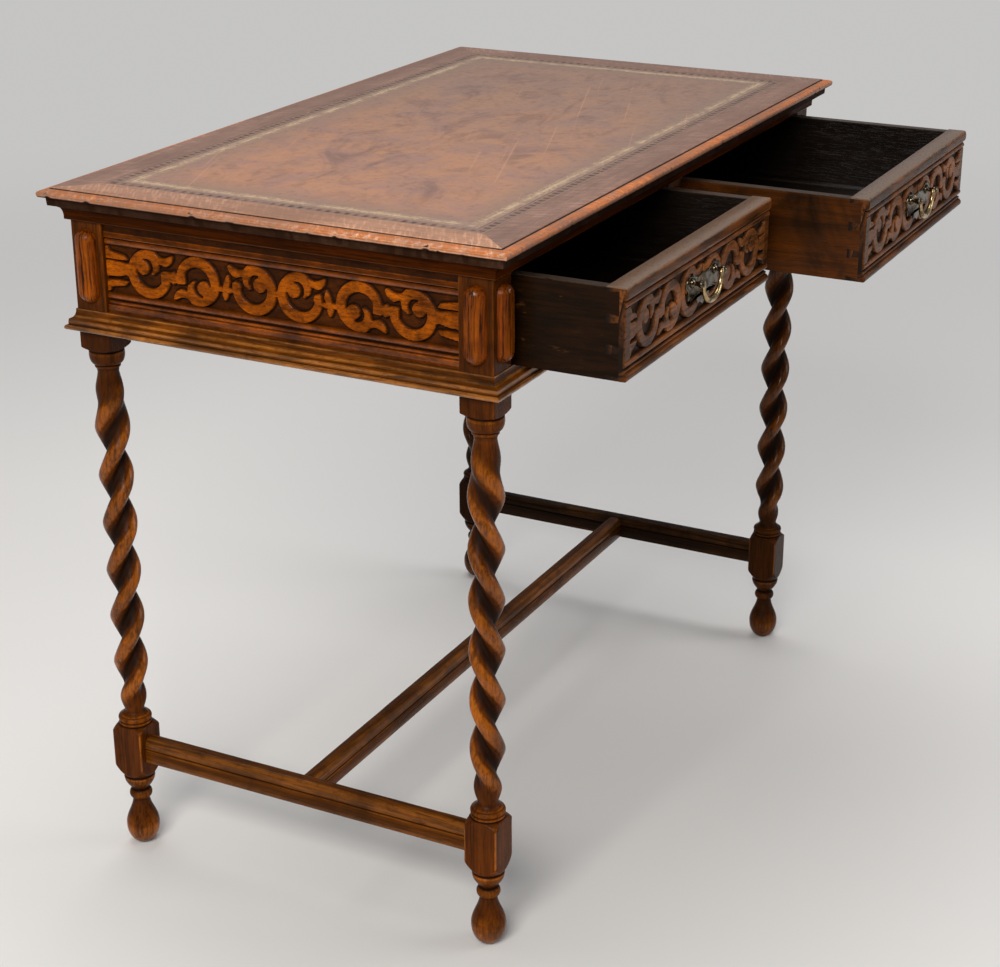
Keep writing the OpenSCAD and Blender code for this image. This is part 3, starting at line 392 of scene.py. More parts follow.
def leatherMaterial(name, look):
    made, tree, shader, spot = newMaterial(name)
    inset, run = attribute(tree, "inset"), attribute(tree, "run")
    fine = cloud(spot, 110.0, 4.0, 0.65)
    mottle = cloud(spot, 17.0, 5.0, 0.62, 0.5)
    swirl = cloud(stretch(spot, (1.0, 1.9, 1.0)), 6.5, 7.0, 0.66, 3.0)
    base = blendOf(mask(mottle, 0.38, 0.66), look["pale"], look["rosy"])
    # olive towards the right end of the top
    oliveRightwards = mask(plus(partOf(spot, 0), times(mottle, 0.25)), -0.2, 0.5)
    base = blendOf(times(oliveRightwards, 0.7), base, look["olive"])
    rim = mask(plus(inset, times(mottle, 45.0)), 95.0, 38.0)
    base = blendOf(times(rim, 0.75), base, look["olive"])
    clouds = times(mask(swirl, 0.46, 0.7), plus(times(mask(inset, 30.0, 110.0), 0.45), 0.12))
    base = blendOf(clouds, base, look["dark"])
    base = blendOf(times(mask(fine, 0.5, 0.74), 0.4), base, look["dark"])
    scratch = cloud(stretch(turnedBy(spot, (0, 0, -0.35)), (3.0, 240.0, 1.0)), 1.0, 1.0)
    base = blendOf(times(mask(scratch, 0.7, 0.75), 0.35), base, look["scratch"])
    # blind lines and the dark rope of beads beside the rim
    rope = mask(awayFrom(inset, look["ropeAt"]), 4.2, 2.8)
    bead = maths("SINE", times(run, 2 * math.pi / look["beadPitch"]))
    gaps = times(rope, plus(times(mask(bead, 0.2, -0.5), 0.65), 0.28))
    lines = plus(mask(awayFrom(inset, look["blindAt"][0]), 0.9, 0.3), mask(inset, 1.1, 0.3), True)
    kept = plus(times(mask(cloud(spot, 26.0, 4.0, 0.7), 0.3, 0.6), 0.6), 0.4)
    dark = times(maths("MAXIMUM", gaps, times(lines, 0.7)), kept, True)
    base = blendOf(dark, base, look["blind"])
    # gilt band, rubbed through in patches
    fromGilt = awayFrom(inset, look["giltAt"])
    specks = times(mask(cloud(spot, 380.0, 3.0, 0.7), 0.4, 0.62), 0.6)
    gilt = maths("MAXIMUM", times(mask(fromGilt, 2.6, 0.8), 0.7), times(mask(fromGilt, 8.5, 4.0), specks))
    left = plus(times(mask(cloud(spot, 60.0, 4.0, 0.7), 0.34, 0.6), 0.75), 0.12)
    leaf = times(gilt, left, True)
    feed(shader["Base Color"], blendOf(leaf, base, look["gilt"]))
    feed(shader["Roughness"], plus(times(fine, 0.3), look["rough"]))
    feed(shader["Metallic"], times(leaf, 0.25))
    pebble = addNode(tree, "ShaderNodeTexVoronoi", {"Vector": spot, "Scale": 900.0}).outputs["Distance"]
    height = minus(plus(times(pebble, 0.4), times(fine, 0.8)), times(dark, 2.2))
    feed(shader["Normal"], bumpOf(height, 0.3))
    feed(shader["Specular IOR Level"], 0.35)
    return made


def brassMaterial(name, bright, dull, rough):
    made, _, shader, spot = newMaterial(name)
    tarnish = mask(cloud(spot, 120.0, 4.0, 0.65), 0.44, 0.66)
    feed(shader["Base Color"], blendOf(tarnish, bright, dull))
    feed(shader["Roughness"], plus(times(tarnish, 0.3), rough))
    feed(shader["Metallic"], 1.0)
    feed(shader["Normal"], bumpOf(cloud(spot, 1200.0, 2.0), 0.15, 0.0002))
    return made


hide = leatherMaterial("toolHide", leatherLook)
brass = brassMaterial("agedBrass", (0.46, 0.33, 0.155), (0.13, 0.088, 0.042), 0.2)
bronze = brassMaterial("darkPlate", (0.13, 0.10, 0.062), (0.042, 0.032, 0.022), 0.16)
print("materials made")


# Modelling helpers

def arched(points, low, gain):
    # Wear for the points of an arc: low at its ends, low + gain in its middle
    last = len(points) - 1
    return [(x, z, low + gain * math.sin(math.pi * k / last)) for k, (x, z) in enumerate(points)]


def sweep(count, stations, shape):
    # A grid rolled into a tube: count points round it, carried through the stations. shape(k, i)
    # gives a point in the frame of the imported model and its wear.
    bm = bmesh.new()
    worn = bm.verts.layers.float.new("worn")
    seam = []
    for vert in bmesh.ops.create_grid(bm, x_segments=count, y_segments=stations - 1, size=1)["verts"]:
        i = round((vert.co.x + 1) / 2 * count)
        k = round((vert.co.y + 1) / 2 * (stations - 1))
        if i in (0, count):
            seam.append(vert)
        vert.co, vert[worn] = shape(k, i % count)
    bmesh.ops.remove_doubles(bm, verts=seam, dist=1e-7)
    bmesh.ops.holes_fill(bm, edges=[e for e in bm.edges if e.is_boundary], sides=0)
    return bm


def addObject(name, bm):
    mesh = bpy.data.meshes.new(name)
    bm.to_mesh(mesh)
    bm.free()
    made = bpy.data.objects.new(name, mesh)
    bpy.context.scene.collection.objects.link(made)
    return made


def finishPiece(bm, name, finish, body, node, crease=40):
    bmesh.ops.recalc_face_normals(bm, faces=bm.faces)
    piece = addObject(name, bm)
    piece.data.shade_smooth()
    piece.data.set_sharp_from_angle(angle=math.radians(crease))
    piece.data.materials.append(finish)
    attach(piece, body)
    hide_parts(node)


def sidePoint(side, along, out, z, faceX, faceY):
    # A point of a run on side 0 front, 1 right, 2 back or 3 left
    if side == 0:
        return place(along, -(faceY + out), z)
    if side == 1:
        return place(faceX + out, along, z)
    if side == 2:
        return place(-along, faceY + out, z)
    return place(-(faceX + out), -along, z)


# Top: border with its worn nose, and the leather

sideWords = ("front", "right", "back", "left")
topLook = {
    "edge": 10.0, "noseDrop": 5.0, "noseThick": 9.6, "step": 2.0, "tickPitch": 10.8, "tickSlant": 1.3,
    "scallop": 0.22, "nick": 0.3, "tick": 0.2, "sway": 0.3,
}


def borderSection():
    # (out, z, wear) from the leather's edge over the nose and back under the board
    s, e, drop = level["surface"], topLook["edge"], topLook["noseDrop"]
    inner, foot = level["leatherX"] - level["halfX"], s - topLook["noseThick"]
    nose = arcPoints((-e + 0.2, s - drop), e - 0.2, drop - 1.2, 86, 4, 9)
    under = arcPoints((-2, s - drop), 2, topLook["noseThick"] - drop - 0.5, -10, -86, 6)
    points = [(inner, s, 0.5), (inner + 12, s, 0.5), (inner + 24, s, 0.5), (-e - 1.6, s, 0.55)]
    # low wear in the quirk behind the nose, under the nose and down the face below it: the dark wax
    # colour there is painted shade
    points += [(-e - 1.0, s - 0.15, 0.4), (-e - 0.3, s - 0.8, 0.14), (-e + 0.3, s - 1.4, 0.1)]
    points += arched(nose, 0.62, 0.3)
    points += [(x, z, max(0.0, 0.8 - 0.2 * k)) for k, (x, z) in enumerate(under)]
    points += [(-6, foot, 0.1), (-6.6, foot - 1, 0.1), (-7.2, level["topUnder"], 0.1)]
    return points + [(inner, level["topUnder"], 0.5)]


def makeBorder(side, word):
    section = borderSection()
    half = level["halfY"] if side % 2 else level["halfX"]
    count = round(2 * half / topLook["step"])
    near = word == "left"

    def shape(k, i):
        out, z, wear = section[i]
        along = (2 * k / count - 1) * (half + out)
        down, depth = level["surface"] - z, 0.0
        if out > -topLook["edge"]:
            # hand-worked nose: shallow scallops, nicks and slanting tool marks
            nick = ease((wave(along, side * 17, z * 0.5, 8) - 0.3) / 0.35) * clamp((down - 1.5) / 3)
            slant = (along + topLook["tickSlant"] * down) / topLook["tickPitch"]
            slant += 0.5 * wave(along, side, 0, 45)
            tick = ease((math.sin(2 * math.pi * slant) - 0.2) / 0.7)
            tick *= clamp((down - 1.3) / 1.2) * clamp((5.6 - down) / 1.6)
            tick *= ease((wave(along, 5, side, 50) + 0.35) / 0.4) * (1 if near else 0.5)
            depth = topLook["scallop"] * abs(wave(along, side * 31, 0, 12)) + topLook["nick"] * nick
            depth += topLook["tick"] * tick + topLook["sway"] * wave(along, 3, side, 60)
            depth = max(0.0, depth * clamp((out + topLook["edge"]) / 6))
            wear = clamp(wear - 0.4 * nick - 0.5 * tick)
        z += 0.3 * depth if down > 3 else -0.2 * depth
        return sidePoint(side, along, out - depth, z, level["halfX"], level["halfY"]), wear

    # the left border takes its paler copy: painted light
    finish = oak("borderPaintedLight" if near else "border", "y" if side % 2 else "x")
    bm = sweep(len(section), count + 1, shape)
    finishPiece(bm, "topBorder" + word.capitalize(), finish, "frame", "top_border_" + word, 50)


for side, word in enumerate(sideWords):
    makeBorder(side, word)


def spread(half):
    # Positions across the hide: close together near its edges, wide in the middle
    fine, band = leatherLook["fineStep"], leatherLook["band"]
    edge = [half - t * fine for t in range(int(band / fine) + 1)]
    steps = 2 * int((half - band) / leatherLook["wideStep"])
    middle = [(half - band) * (1 - 2 * t / steps) for t in range(1, steps)]
    return sorted(set([-e for e in edge] + middle + edge))


def makeLeather():
    xs, ys = spread(level["leatherX"]), spread(level["leatherY"])
    bm = bmesh.new()
    insetLayer = bm.verts.layers.float.new("inset")
    runLayer = bm.verts.layers.float.new("run")
    bmesh.ops.create_grid(bm, x_segments=len(xs) - 1, y_segments=len(ys) - 1, size=0.5)
    for vert in bm.verts:
        x = xs[round((vert.co.x + 0.5) * (len(xs) - 1))]
        y = ys[round((vert.co.y + 0.5) * (len(ys) - 1))]
        inset = min(level["leatherX"] - abs(x), level["leatherY"] - abs(y))
        along = y if level["leatherX"] - abs(x) < level["leatherY"] - abs(y) else x
        z = level["surface"]
        giltBand = clamp(1.3 - abs(inset - leatherLook["giltAt"]) / 5)
        line = max(clamp(1 - abs(inset - at) / 0.9) for at in leatherLook["blindAt"])
        rope = clamp(1.3 - abs(inset - leatherLook["ropeAt"]) / 3)
        z -= 0.12 * giltBand + 0.28 * line + 0.22 * rope + 0.15 * clamp(1 - inset / 1.2)
        if inset > 0.01:
            z += 0.1 * wave(x, y, 0, 60) - 0.05
        vert[insetLayer] = inset
        vert[runLayer] = along
        vert.co = place(x, y, min(z, level["surface"]))
    rim = [e for e in bm.edges if e.is_boundary]
    walls = bmesh.ops.extrude_edge_only(bm, edges=rim)["geom"]
    for vert in walls:
        if isinstance(vert, bmesh.types.BMVert):
            vert.co.z = lowOf("leather_skin").z / 1000
    bmesh.ops.contextual_create(bm, geom=[e for e in walls if isinstance(e, bmesh.types.BMEdge)])
    finishPiece(bm, "leatherTop", hide, "frame", "leather_skin")


makeLeather()
print("top made")


# Mouldings under the top and round the base

mouldingLook = {
    "bed": {"out": 8.5, "step": 7.0, "dents": 0.25, "seed": 4.0, "oak": "moulding", "slot": "dark_oak"},
    "base": {"out": 10.6, "step": 5.0, "dents": 0.45, "seed": 40.0, "oak": "base", "slot": "oak"},
}


def bedSection():
    # (out, z, wear), cove over a small fillet
    top, foot, p = level["topUnder"], level["bed"], mouldingLook["bed"]["out"]
    cove = arcPoints((p - 0.8, foot + 2), p / 2 - 0.8, top - foot - 4.2, 96, 172, 7)
    points = [(-3, top, 0.5), (p - 0.3, top, 0.5), (p, top - 0.3, 0.8)]
    points += [(p, top - 1.4, 0.85), (p - 0.3, top - 1.8, 0.6)]
    points += [(x, z, 0.40 + 0.012 * k) for k, (x, z) in enumerate(cove)]
    points += [(p / 2, foot + 1.6, 0.3), (p / 2, foot + 0.3, 0.85)]
    return points + [(p / 2 - 0.3, foot, 0.7), (-3, foot, 0.5)]


def baseSection():
    # (out, z, wear), cove over a bead
    low, high, p, r = level["base"], level["rail"], mouldingLook["base"]["out"], 2.6
    cove = arcPoints((p - 3.4, high - 1.5), p - 4.4, high - low - 12.7, -94, -176, 7)
    points = [(-3, low, 0.5), (p - r - 2, low, 0.4)]
    points += arched(arcPoints((p - r, low + r), r, r, -84, 84, 9), 0.6, 0.35)
    points += [(p - 3.0, low + 2 * r + 0.2, 0.05), (p - 3.4, low + 2 * r + 0.8, 0.3)]
    # high wear on the fillet arrises and along the middle of the cove: rubbed arrises with painted
    # highlight lines, and a painted highlight line in the cove
    points += [(p - 3.3, low + 8.4, 0.9), (p - 3.5, low + 9.2, 0.85)]
    points += [(x, z, 0.74 if k in (3, 4) else 0.48) for k, (x, z) in enumerate(cove)]
    return points + [(1.15, high - 0.9, 0.7), (0.9, high, 0.9), (-3, high, 0.5)]


def mitredRun(side, section, look):
    half = level["postY"] if side % 2 else level["postX"]
    count = round(2 * half / look["step"])

    def shape(k, i):
        out, z, wear = section[i]
        along = (2 * k / count - 1) * (half + out)
        loose = (wear - 0.5) * 2 * look["dents"] if wear > 0.5 else 0.0
        ripple = wave(along, look["seed"] + side * 50, z, 21) + 0.6 * wave(along, look["seed"] + 9, z, 6)
        dent = min(0, loose * (ripple - 0.3))
        return sidePoint(side, along, out + dent, z + dent * 0.4, level["postX"], level["postY"]), wear

    return sweep(len(section), count + 1, shape)


for side, word in enumerate(sideWords):
    for kind, section in (("bed", bedSection()), ("base", baseSection())):
        look = mouldingLook[kind]
        finishPiece(mitredRun(side, section, look), kind + "Moulding" + word.capitalize(),
                    oak(look["oak"], "y" if side % 2 else "x"), "frame",
                    kind + "_moulding_" + word, crease=50)
print("mouldings made")


# Carving: strapwork of open scrolls on a sunk ground, drawn in the flat

carving = {
    "scrollR": 25.2, "groundR": 16.2, "eyeR": 7.4, "fieldHalf": 25.0, "sink": 5.5, "relief": 4.2,
    "endPlaces": (26.0, 92.0, 150.5), "endFace": 4.0, "endMargin": 0.0,
    "drawerPlaces": (27.0, 77.0, 130.0), "drawerFace": 1.0, "drawerMargin": 11.0,
    "step": 0.8, "scrollReach": 45.0, "flowerReach": 25.0, "faraway": 20.0,
}


def roundedLoop(points):
    # Catmull-Rom curve through a closed list of points
    made, steps = [], 4
    for i in range(len(points)):
        a, b, c, d = (Vector(points[(i + j) % len(points)]) for j in (-1, 0, 1, 2))
        for t in (s / steps for s in range(steps)):
            bend = (2 * a - 5 * b + 4 * c - d) * t * t + (3 * b - a - 3 * c + d) * t ** 3
            made.append(tuple(0.5 * (2 * b + (c - a) * t + bend)))
    return made


def withBox(loop):
    xs, zs = [p[0] for p in loop], [p[1] for p in loop]
    return loop, (min(xs), max(xs), min(zs), max(zs))


def loopDistance(x, z, shape):
    # Signed distance to a closed outline, negative inside; far away only the distance to its box
    loop, (x0, x1, z0, z1) = shape
    dx, dz = max(x0 - x, x - x1, 0), max(z0 - z, z - z1, 0)
    if dx * dx + dz * dz > 9:
        return math.hypot(dx, dz)
    best, inside = 1e9, False
    ax, az = loop[-1]
    for bx, bz in loop:
        ex, ez = bx - ax, bz - az
        wx, wz = x - ax, z - az
        t = clamp((wx * ex + wz * ez) / (ex * ex + ez * ez))
        qx, qz = wx - ex * t, wz - ez * t
        best = min(best, qx * qx + qz * qz)
        if (az > z) != (bz > z) and x < ex * (z - az) / ez + ax:
            inside = not inside
        ax, az = bx, bz
    return -math.sqrt(best) if inside else math.sqrt(best)


outlines = {
    "mouth": withBox([(8, 5), (16, 5), (32, 5.5), (32, 28), (9, 28), (8, 22)]),
    "join": withBox([(-16, 4), (-14, 14), (-6, 18), (-5.4, 13.2), (-12, 3)]),
    "leaf": withBox(roundedLoop([
        (-9, 16.5), (-9, 22), (0, 24), (8, 23.4), (11, 20.2), (15.5, 18.7), (20.5, 19), (28.8, 22.2),
        (28.8, 17), (25.5, 12.5), (20.5, 10.2), (13.8, 12), (12.4, 8), (11.5, 4.5), (8, 1.8), (3.3, 0.8),
    ])),
    "barEnd": withBox([(15, 4.5), (32, 4.5), (32, -5), (29.6, -6.6), (26, -4.6), (21, -6), (15, -9)]),
    "beak": withBox([(17, 3), (24.5, 2), (22.5, 6.8)]),
    "petalUp": withBox(roundedLoop([
        (-5, 12), (-1.5, 6), (0.5, -1), (-2, -3), (-5, -2), (-7.6, 3), (-7, 7),
    ])),
    "petalDown": withBox(roundedLoop([(-1.5, -15), (1.6, -9), (1, -5), (-3, -4), (-5, -9)])),
    "petalSide": withBox(roundedLoop([(-11.5, -4), (-8, -1.2), (-3, -1.5), (-3, -6), (-8, -6.6)])),
    "petalBar": withBox([(-4, -6), (12, -6), (12, -1), (-4, -1)]),
}


def scrollDistance(x, z, barred):
    c, out = carving, math.hypot(x, z)
    if out > c["scrollReach"]:
        return c["faraway"]
    ring = max(out - c["scrollR"], c["groundR"] - math.hypot(x - 1, z - 1.8))
    band = max(ring, -loopDistance(x, z, outlines["mouth"]))
    eye = min(math.hypot(x + 6.7, z - 6.2) - c["eyeR"], loopDistance(x, z, outlines["join"]))
    leaf = max(loopDistance(x, z, outlines["leaf"]), c["eyeR"] + 1.2 - math.hypot(x + 3, z - 7.2))
    if barred:
        end = loopDistance(x, z, outlines["barEnd"])
    else:
        end = min(math.hypot(x - 20.3, z - 1) - 4.8, loopDistance(x, z, outlines["beak"]))
    return min(band, eye, leaf, end)


def flowerDistance(x, z):
    if abs(x) > carving["flowerReach"]:
        return carving["faraway"]
    petals = ("petalUp", "petalDown", "petalSide", "petalBar")
    return min(loopDistance(x, z, outlines[name]) for name in petals)


def boxDistance(x, z, x0, x1, z0, z1):
    return max(x0 - x, x - x1, z0 - z, z - z1)


runOuts = {}


def runOutDistance(x, z, start, end):
    # Bar and two leaves that run from the last scroll to the end of the field
    long, stop = end - start, end + 2
    if x < start - 12:
        return carving["faraway"]
    if (start, end) not in runOuts:
        bar = [(start, -6), (start + 5, -4.5), (start + long * 0.45, -6.5), (stop, -8)]
        bar += [(stop, 9.5), (start + long * 0.45, 8.5), (start + 5, 7), (start, 8.5)]
        leaf = [(start + 2.5, 11.2), (start + 6, 15.5), (start + long * 0.55, 17.2), (stop - 5.5, 18.6)]
        leaf += [(stop - 4, 23), (stop, 24), (stop, 11), (start + long * 0.5, 10.4)]
        runOuts[start, end] = withBox(bar), withBox(leaf)
    bar, leaf = runOuts[start, end]
    return min(loopDistance(x, z, bar), loopDistance(x, abs(z), leaf))


def strapDistance(kind, s, z, half):
    if kind == "end":
        a, b, c = carving["endPlaces"]
        first = scrollDistance(s - a, z, False)
        second = min(flowerDistance(s - (a + b) / 2 - 2.5, z), boxDistance(s, z, -1, 3, -3, 3))
    else:
        a, b, c = carving["drawerPlaces"]
        first = max(scrollDistance(a - s, z, False), 1.2 - s)
        second = boxDistance(s, z, (a + b) / 2 - 1.5, (a + b) / 2 + 1.5, -3, 3)
    return min(first, second, scrollDistance(s - b, -z, True), scrollDistance(c - s, z, True),
               runOutDistance(s, z, c + carving["scrollR"] - 2, half))


heights = {}


def carvedHeight(kind, s, z, half):
    # Height over the ground, share of the strap's wall, and distance to its outline
    key = kind, round(abs(s) * 50), round(z * 50)
    if key not in heights:
        d = strapDistance(kind, abs(s), z, half)
        wall = ease((0.45 - d) / 0.9)
        crown = 0.14 * ease(-d / 2.4) - 0.14
        heights[key] = wall * (carving["relief"] + crown * wall), wall, d
    return heights[key]


def boardSection(faceOut, kind):
    # Front outline of a carved board, foot to top: (depth behind the posts' face, z, wear, in field)
    low, high = level["field"] - carving["fieldHalf"], level["field"] + carving["fieldHalf"]
    sink, r = faceOut + carving["sink"], 3.2
    quirk, rail, bed = sink - 1, level["rail"], level["bed"]

    def roll(middle):
        arc = arcPoints((faceOut + r + 0.5, middle), -r, r, -76, 76, 8)
        return arched(arc, 0.4, 0.24 if kind == "end" else 0.46)

    def bulge(z0, z1):
        arc = arcPoints((2.4, (z0 + z1) / 2), -2.4, (z1 - z0) / 2, -62, 62, 8)
        return [(x, z, 0.9 if x > 0.4 else 0.5) for x, z in arc]

    if kind == "end":
        points = [(3.2, rail - 1.5, 0.3), (faceOut, rail - 0.6, 0.3)]
        points += [(faceOut, rail + 3, 0.6), (faceOut, low - 13.6, 0.6)]
    else:
        foot = lowOf("left_drawer_front").z
        points = [(2.4, foot, 0.5), *bulge(foot, low - 12.6), (2.3, low - 12.4, 0.1)]
    points += [(faceOut + 0.3, low - 12.5, 0.72), (faceOut + 1.3, low - 12.0, 0.5)]
    bead = arcPoints((quirk / 2 + faceOut / 2 + 0.9, low - 10.2), -1.4, 1.4, -80, 80, 5)
    points += [(x, z, 0.66) for x, z in bead]
    points += [(quirk - 0.2, low - 8.5, 0.0), (quirk, low - 7.8, 0.15), (quirk, low - 2 * r - 0.1, 0.0)]
    rows = round(2 * carving["fieldHalf"] / carving["step"])
    field = [(sink, low + 2 * carving["fieldHalf"] * j / rows, 0.3, True) for j in range(rows + 1)]
    points += roll(low - r) + field + roll(high + r)
    points += [(quirk, high + 2 * r + 0.1, 0.0), (quirk, high + 7.2, 0.1)]
    if kind == "end":
        points += [(faceOut + 0.9, high + 7.6, 0.4), (faceOut + 0.1, high + 8.2, 0.68)]
        points += [(faceOut, high + 9.4, 0.45), (faceOut, high + 12.6, 0.4)]
        points += [(faceOut + 0.2, high + 13.2, 0.7), (faceOut + 1.2, high + 14.0, 0.15)]
        points += [(faceOut + 1.2, bed, 0.4), (3.2, bed + 1.5, 0.3)]
    else:
        top = highOf("left_drawer_front").z
        points += [*bulge(high + 7.6, top), (2.4, top, 1.0), (3.4, top, 1.0)]
    return [p if len(p) == 4 else (*p, False) for p in points]


def carvedBoard(name, kind, half, backDepth, toFrame, look, body, node):
    section = boardSection(carving[kind + "Face"], kind)
    top, foot = section[-1][1], section[0][1]
    section += [(backDepth - 0.8, top, 1.0, False), (backDepth, top - 0.8, 0.15, False)]
    section += [(backDepth, foot, 0.15, False)]
    count = round(2 * half / carving["step"])
    fieldHalf = half - carving[kind + "Margin"]

    def shape(k, i):
        depth, z, wear, field = section[i]
        s = half * (2 * k / count - 1)
        if field and abs(s) > fieldHalf:
            depth, wear = depth - carving["relief"], 0.5
        elif field:
            up, wall, d = carvedHeight(kind, s, z - level["field"], fieldHalf)
            if wall > 0.02:
                wear = clamp(0.84 + 0.16 * ease(1 + (d + 0.25) / 1.3)) * wall + 0.05 * (1 - wall)
                up += 0.12 * wall * wave(s, z, 3, 5)
            else:
                # the ground darkens close to the straps: dark wax in the corners with painted shadow
                # round the straps
                wear = clamp(0.25 - 0.25 * ease(1 - (d - 0.4) / 2.4))
                up += 0.14 * wave(s, z, 9, 3.2)
            depth -= up
        elif wear > 0.6:
            depth += max(0, 0.3 * wave(s, z, 5, 14))
        if kind == "drawer" and k in (0, count) and depth > 9:
            # the ends stand back a little behind the carved face, and are dark
            s -= math.copysign(0.2, s)
            wear = 0.0
        return toFrame(s, depth, z), wear

    bm = sweep(len(section), count + 1, shape)
    finishPiece(bm, name, oak(*look), body, node, crease=60)


for word, hand in (("left", -1), ("right", 1)):
    carvedBoard("endBoard" + word.capitalize(), "end", level["postY"] - level["stock"], 23.0,
                lambda s, d, z, hand=hand: place(hand * (level["postX"] - d), -s, z),
                ("board", "y"), "frame", "end_panel_" + word)
print("end boards made")
for side in ("left", "right"):
    low, high = lowOf(side + "_drawer_front"), highOf(side + "_drawer_front")
    middle, face = (low.x + high.x) / 2, low.y
    carvedBoard(side.capitalize() + "DrawerFront", "drawer", (high.x - low.x) / 2, high.y - low.y,
                lambda s, d, z, middle=middle, face=face: Vector((middle + s, face + d, z)) / 1000,
                ("front", "x"), "drawer_" + side, side + "_drawer_front")
print("drawer fronts made")


# Legs: one square of oak each, turned and twisted

legLook = {
    "sides": 96, "step": 1.6, "crest": 18.3, "groove": 6.5, "pitch": 109.2, "sharp": 0.14,
    "footR": 18.4, "footFlat": 5.0, "footMid": 24.0, "footWaist": 57.0, "bead": 62.3, "ring": 27.0,
    "head": 46.5, "fade": 55.0, "barrel": 44.0, "grooveStart": 78.0, "unevenFade": 30.0,
    "blockLow": lowOf("side_stretcher_left").z, "blockHigh": highOf("side_stretcher_left").z + 4.5,
    "starts": {
        "front_left": (-1, 95), "front_right": (1, 160), "back_left": (1, 155), "back_right": (-1, 95),
    },
}


def ringOf(z, tall, r, out, start, stop, step):
    turns = [math.radians(a) for a in range(start, stop, step)]
    return [(z + tall * math.sin(a), r + out * math.cos(a)) for a in turns]


def flare(z0, z1, r0, r1, steps):
    turns = [i / steps for i in range(steps + 1)]
    return [(z0 + (z1 - z0) * t, r0 + (r1 - r0) * math.sin(math.pi / 2 * t)) for t in turns]


def turnedOutline():
    # (height, radius) up the leg, without the twist between the lower rings and the head
    g = legLook
    foot, flat, crest = g["footR"], g["footFlat"], g["crest"]
    neck, cup, block = foot * 0.53, level["stock"] * 0.463, level["stock"] * 0.73
    footNeck, headNeck = foot * 0.5, neck + 1.8
    cupLow, cupTop, shoulder = g["bead"] + 7.6, g["blockLow"] - 24, g["blockHigh"]
    twistLow, twistHigh = shoulder + g["ring"], level["base"] - g["head"]
    points = [(0.0, flat)]
    for t in (i / 8 for i in range(1, 9)):
        a = math.pi / 2 * t
        r = max(flat, foot * math.sin(a) + flat * (1 - t) * 0.4)
        points.append((g["footMid"] * (1 - math.cos(a)), r))
    for t in (i / 12 for i in range(1, 13)):
        z = g["footMid"] + (g["footWaist"] - g["footMid"]) * t
        points.append((z, footNeck + (foot - footNeck) * (1 + math.cos(math.pi * t)) / 2))
    points += ringOf(g["bead"], 5.2, footNeck, 3.4, -88, 89, 16)
    points += flare(cupLow, cupTop, footNeck + 0.6, cup, 9)
    points += [(cupTop + 0.6, cup - 0.3), (cupTop + 1.4, cup - 1.6), (cupTop + 3, cup - 1.6)]
    points += flare(cupTop + 4, g["blockLow"], cup + 0.3, block, 9)
    points += flare(shoulder + 10, shoulder, crest - 0.6, block, 8)[::-1]
    points += ringOf(shoulder + 12, 1.8, crest - 2.5, 2.3, -80, 81, 20)
    points += ringOf(shoulder + 17.2, 3.4, crest - 3, 3, -80, 81, 16)
    points += flare(twistLow - 6, twistLow, crest - 3, neck + 1, 5)
    upper = [(twistHigh + 0.6, headNeck), (twistHigh + 2.6, headNeck)]
    upper += ringOf(twistHigh + 4.6, 1.9, headNeck + 0.2, 1.7, -80, 81, 20)
    upper += ringOf(twistHigh + 17.6, 10.4, crest - 4.6, 4.8, -90, 21, 10)
    upper += [(twistHigh + 21.8, crest - 1.1), (twistHigh + 22.8, crest - 1.2)]
    upper += flare(twistHigh + 23.4, twistHigh + 28, crest + 0.2, block, 7)
    upper += [(z, block) for z in (level["base"] - 12, level["base"] + 4, level["topUnder"] - 0.01)]
    return points, upper, twistLow, twistHigh


def twistRadius(z, a, low, high):
    # Radius of the twist, and its wear from 0 in a groove to 1 on a crest
    g = legLook
    neck = g["footR"] * 0.53
    down = high - z
    fade = min(ease((z - low) / g["fade"]), clamp(down / g["grooveStart"]) ** 1.25)
    if z > (low + high) / 2:
        n = neck + 1.2 + (g["crest"] - neck - 1.2) * ease(down / g["barrel"])
    else:
        n = neck + 0.7 + 3.4 * math.sin(math.pi * clamp((z - low) / 36))
    crest = n + (g["crest"] - n) * min(1, fade * 1.35)
    groove = n + (g["groove"] - n) * fade
    # between a soft lobe and a true ellipse: crests stand out narrow over wide hollows
    lobe = math.hypot(crest * math.cos(a), groove * math.sin(a))
    oval = crest * groove / math.hypot(groove * math.cos(a), crest * math.sin(a))
    r = lobe + (oval - lobe) * g["sharp"]
    return r, fade * (r - groove) / max(0.5, crest - groove) + (1 - fade) * 0.6


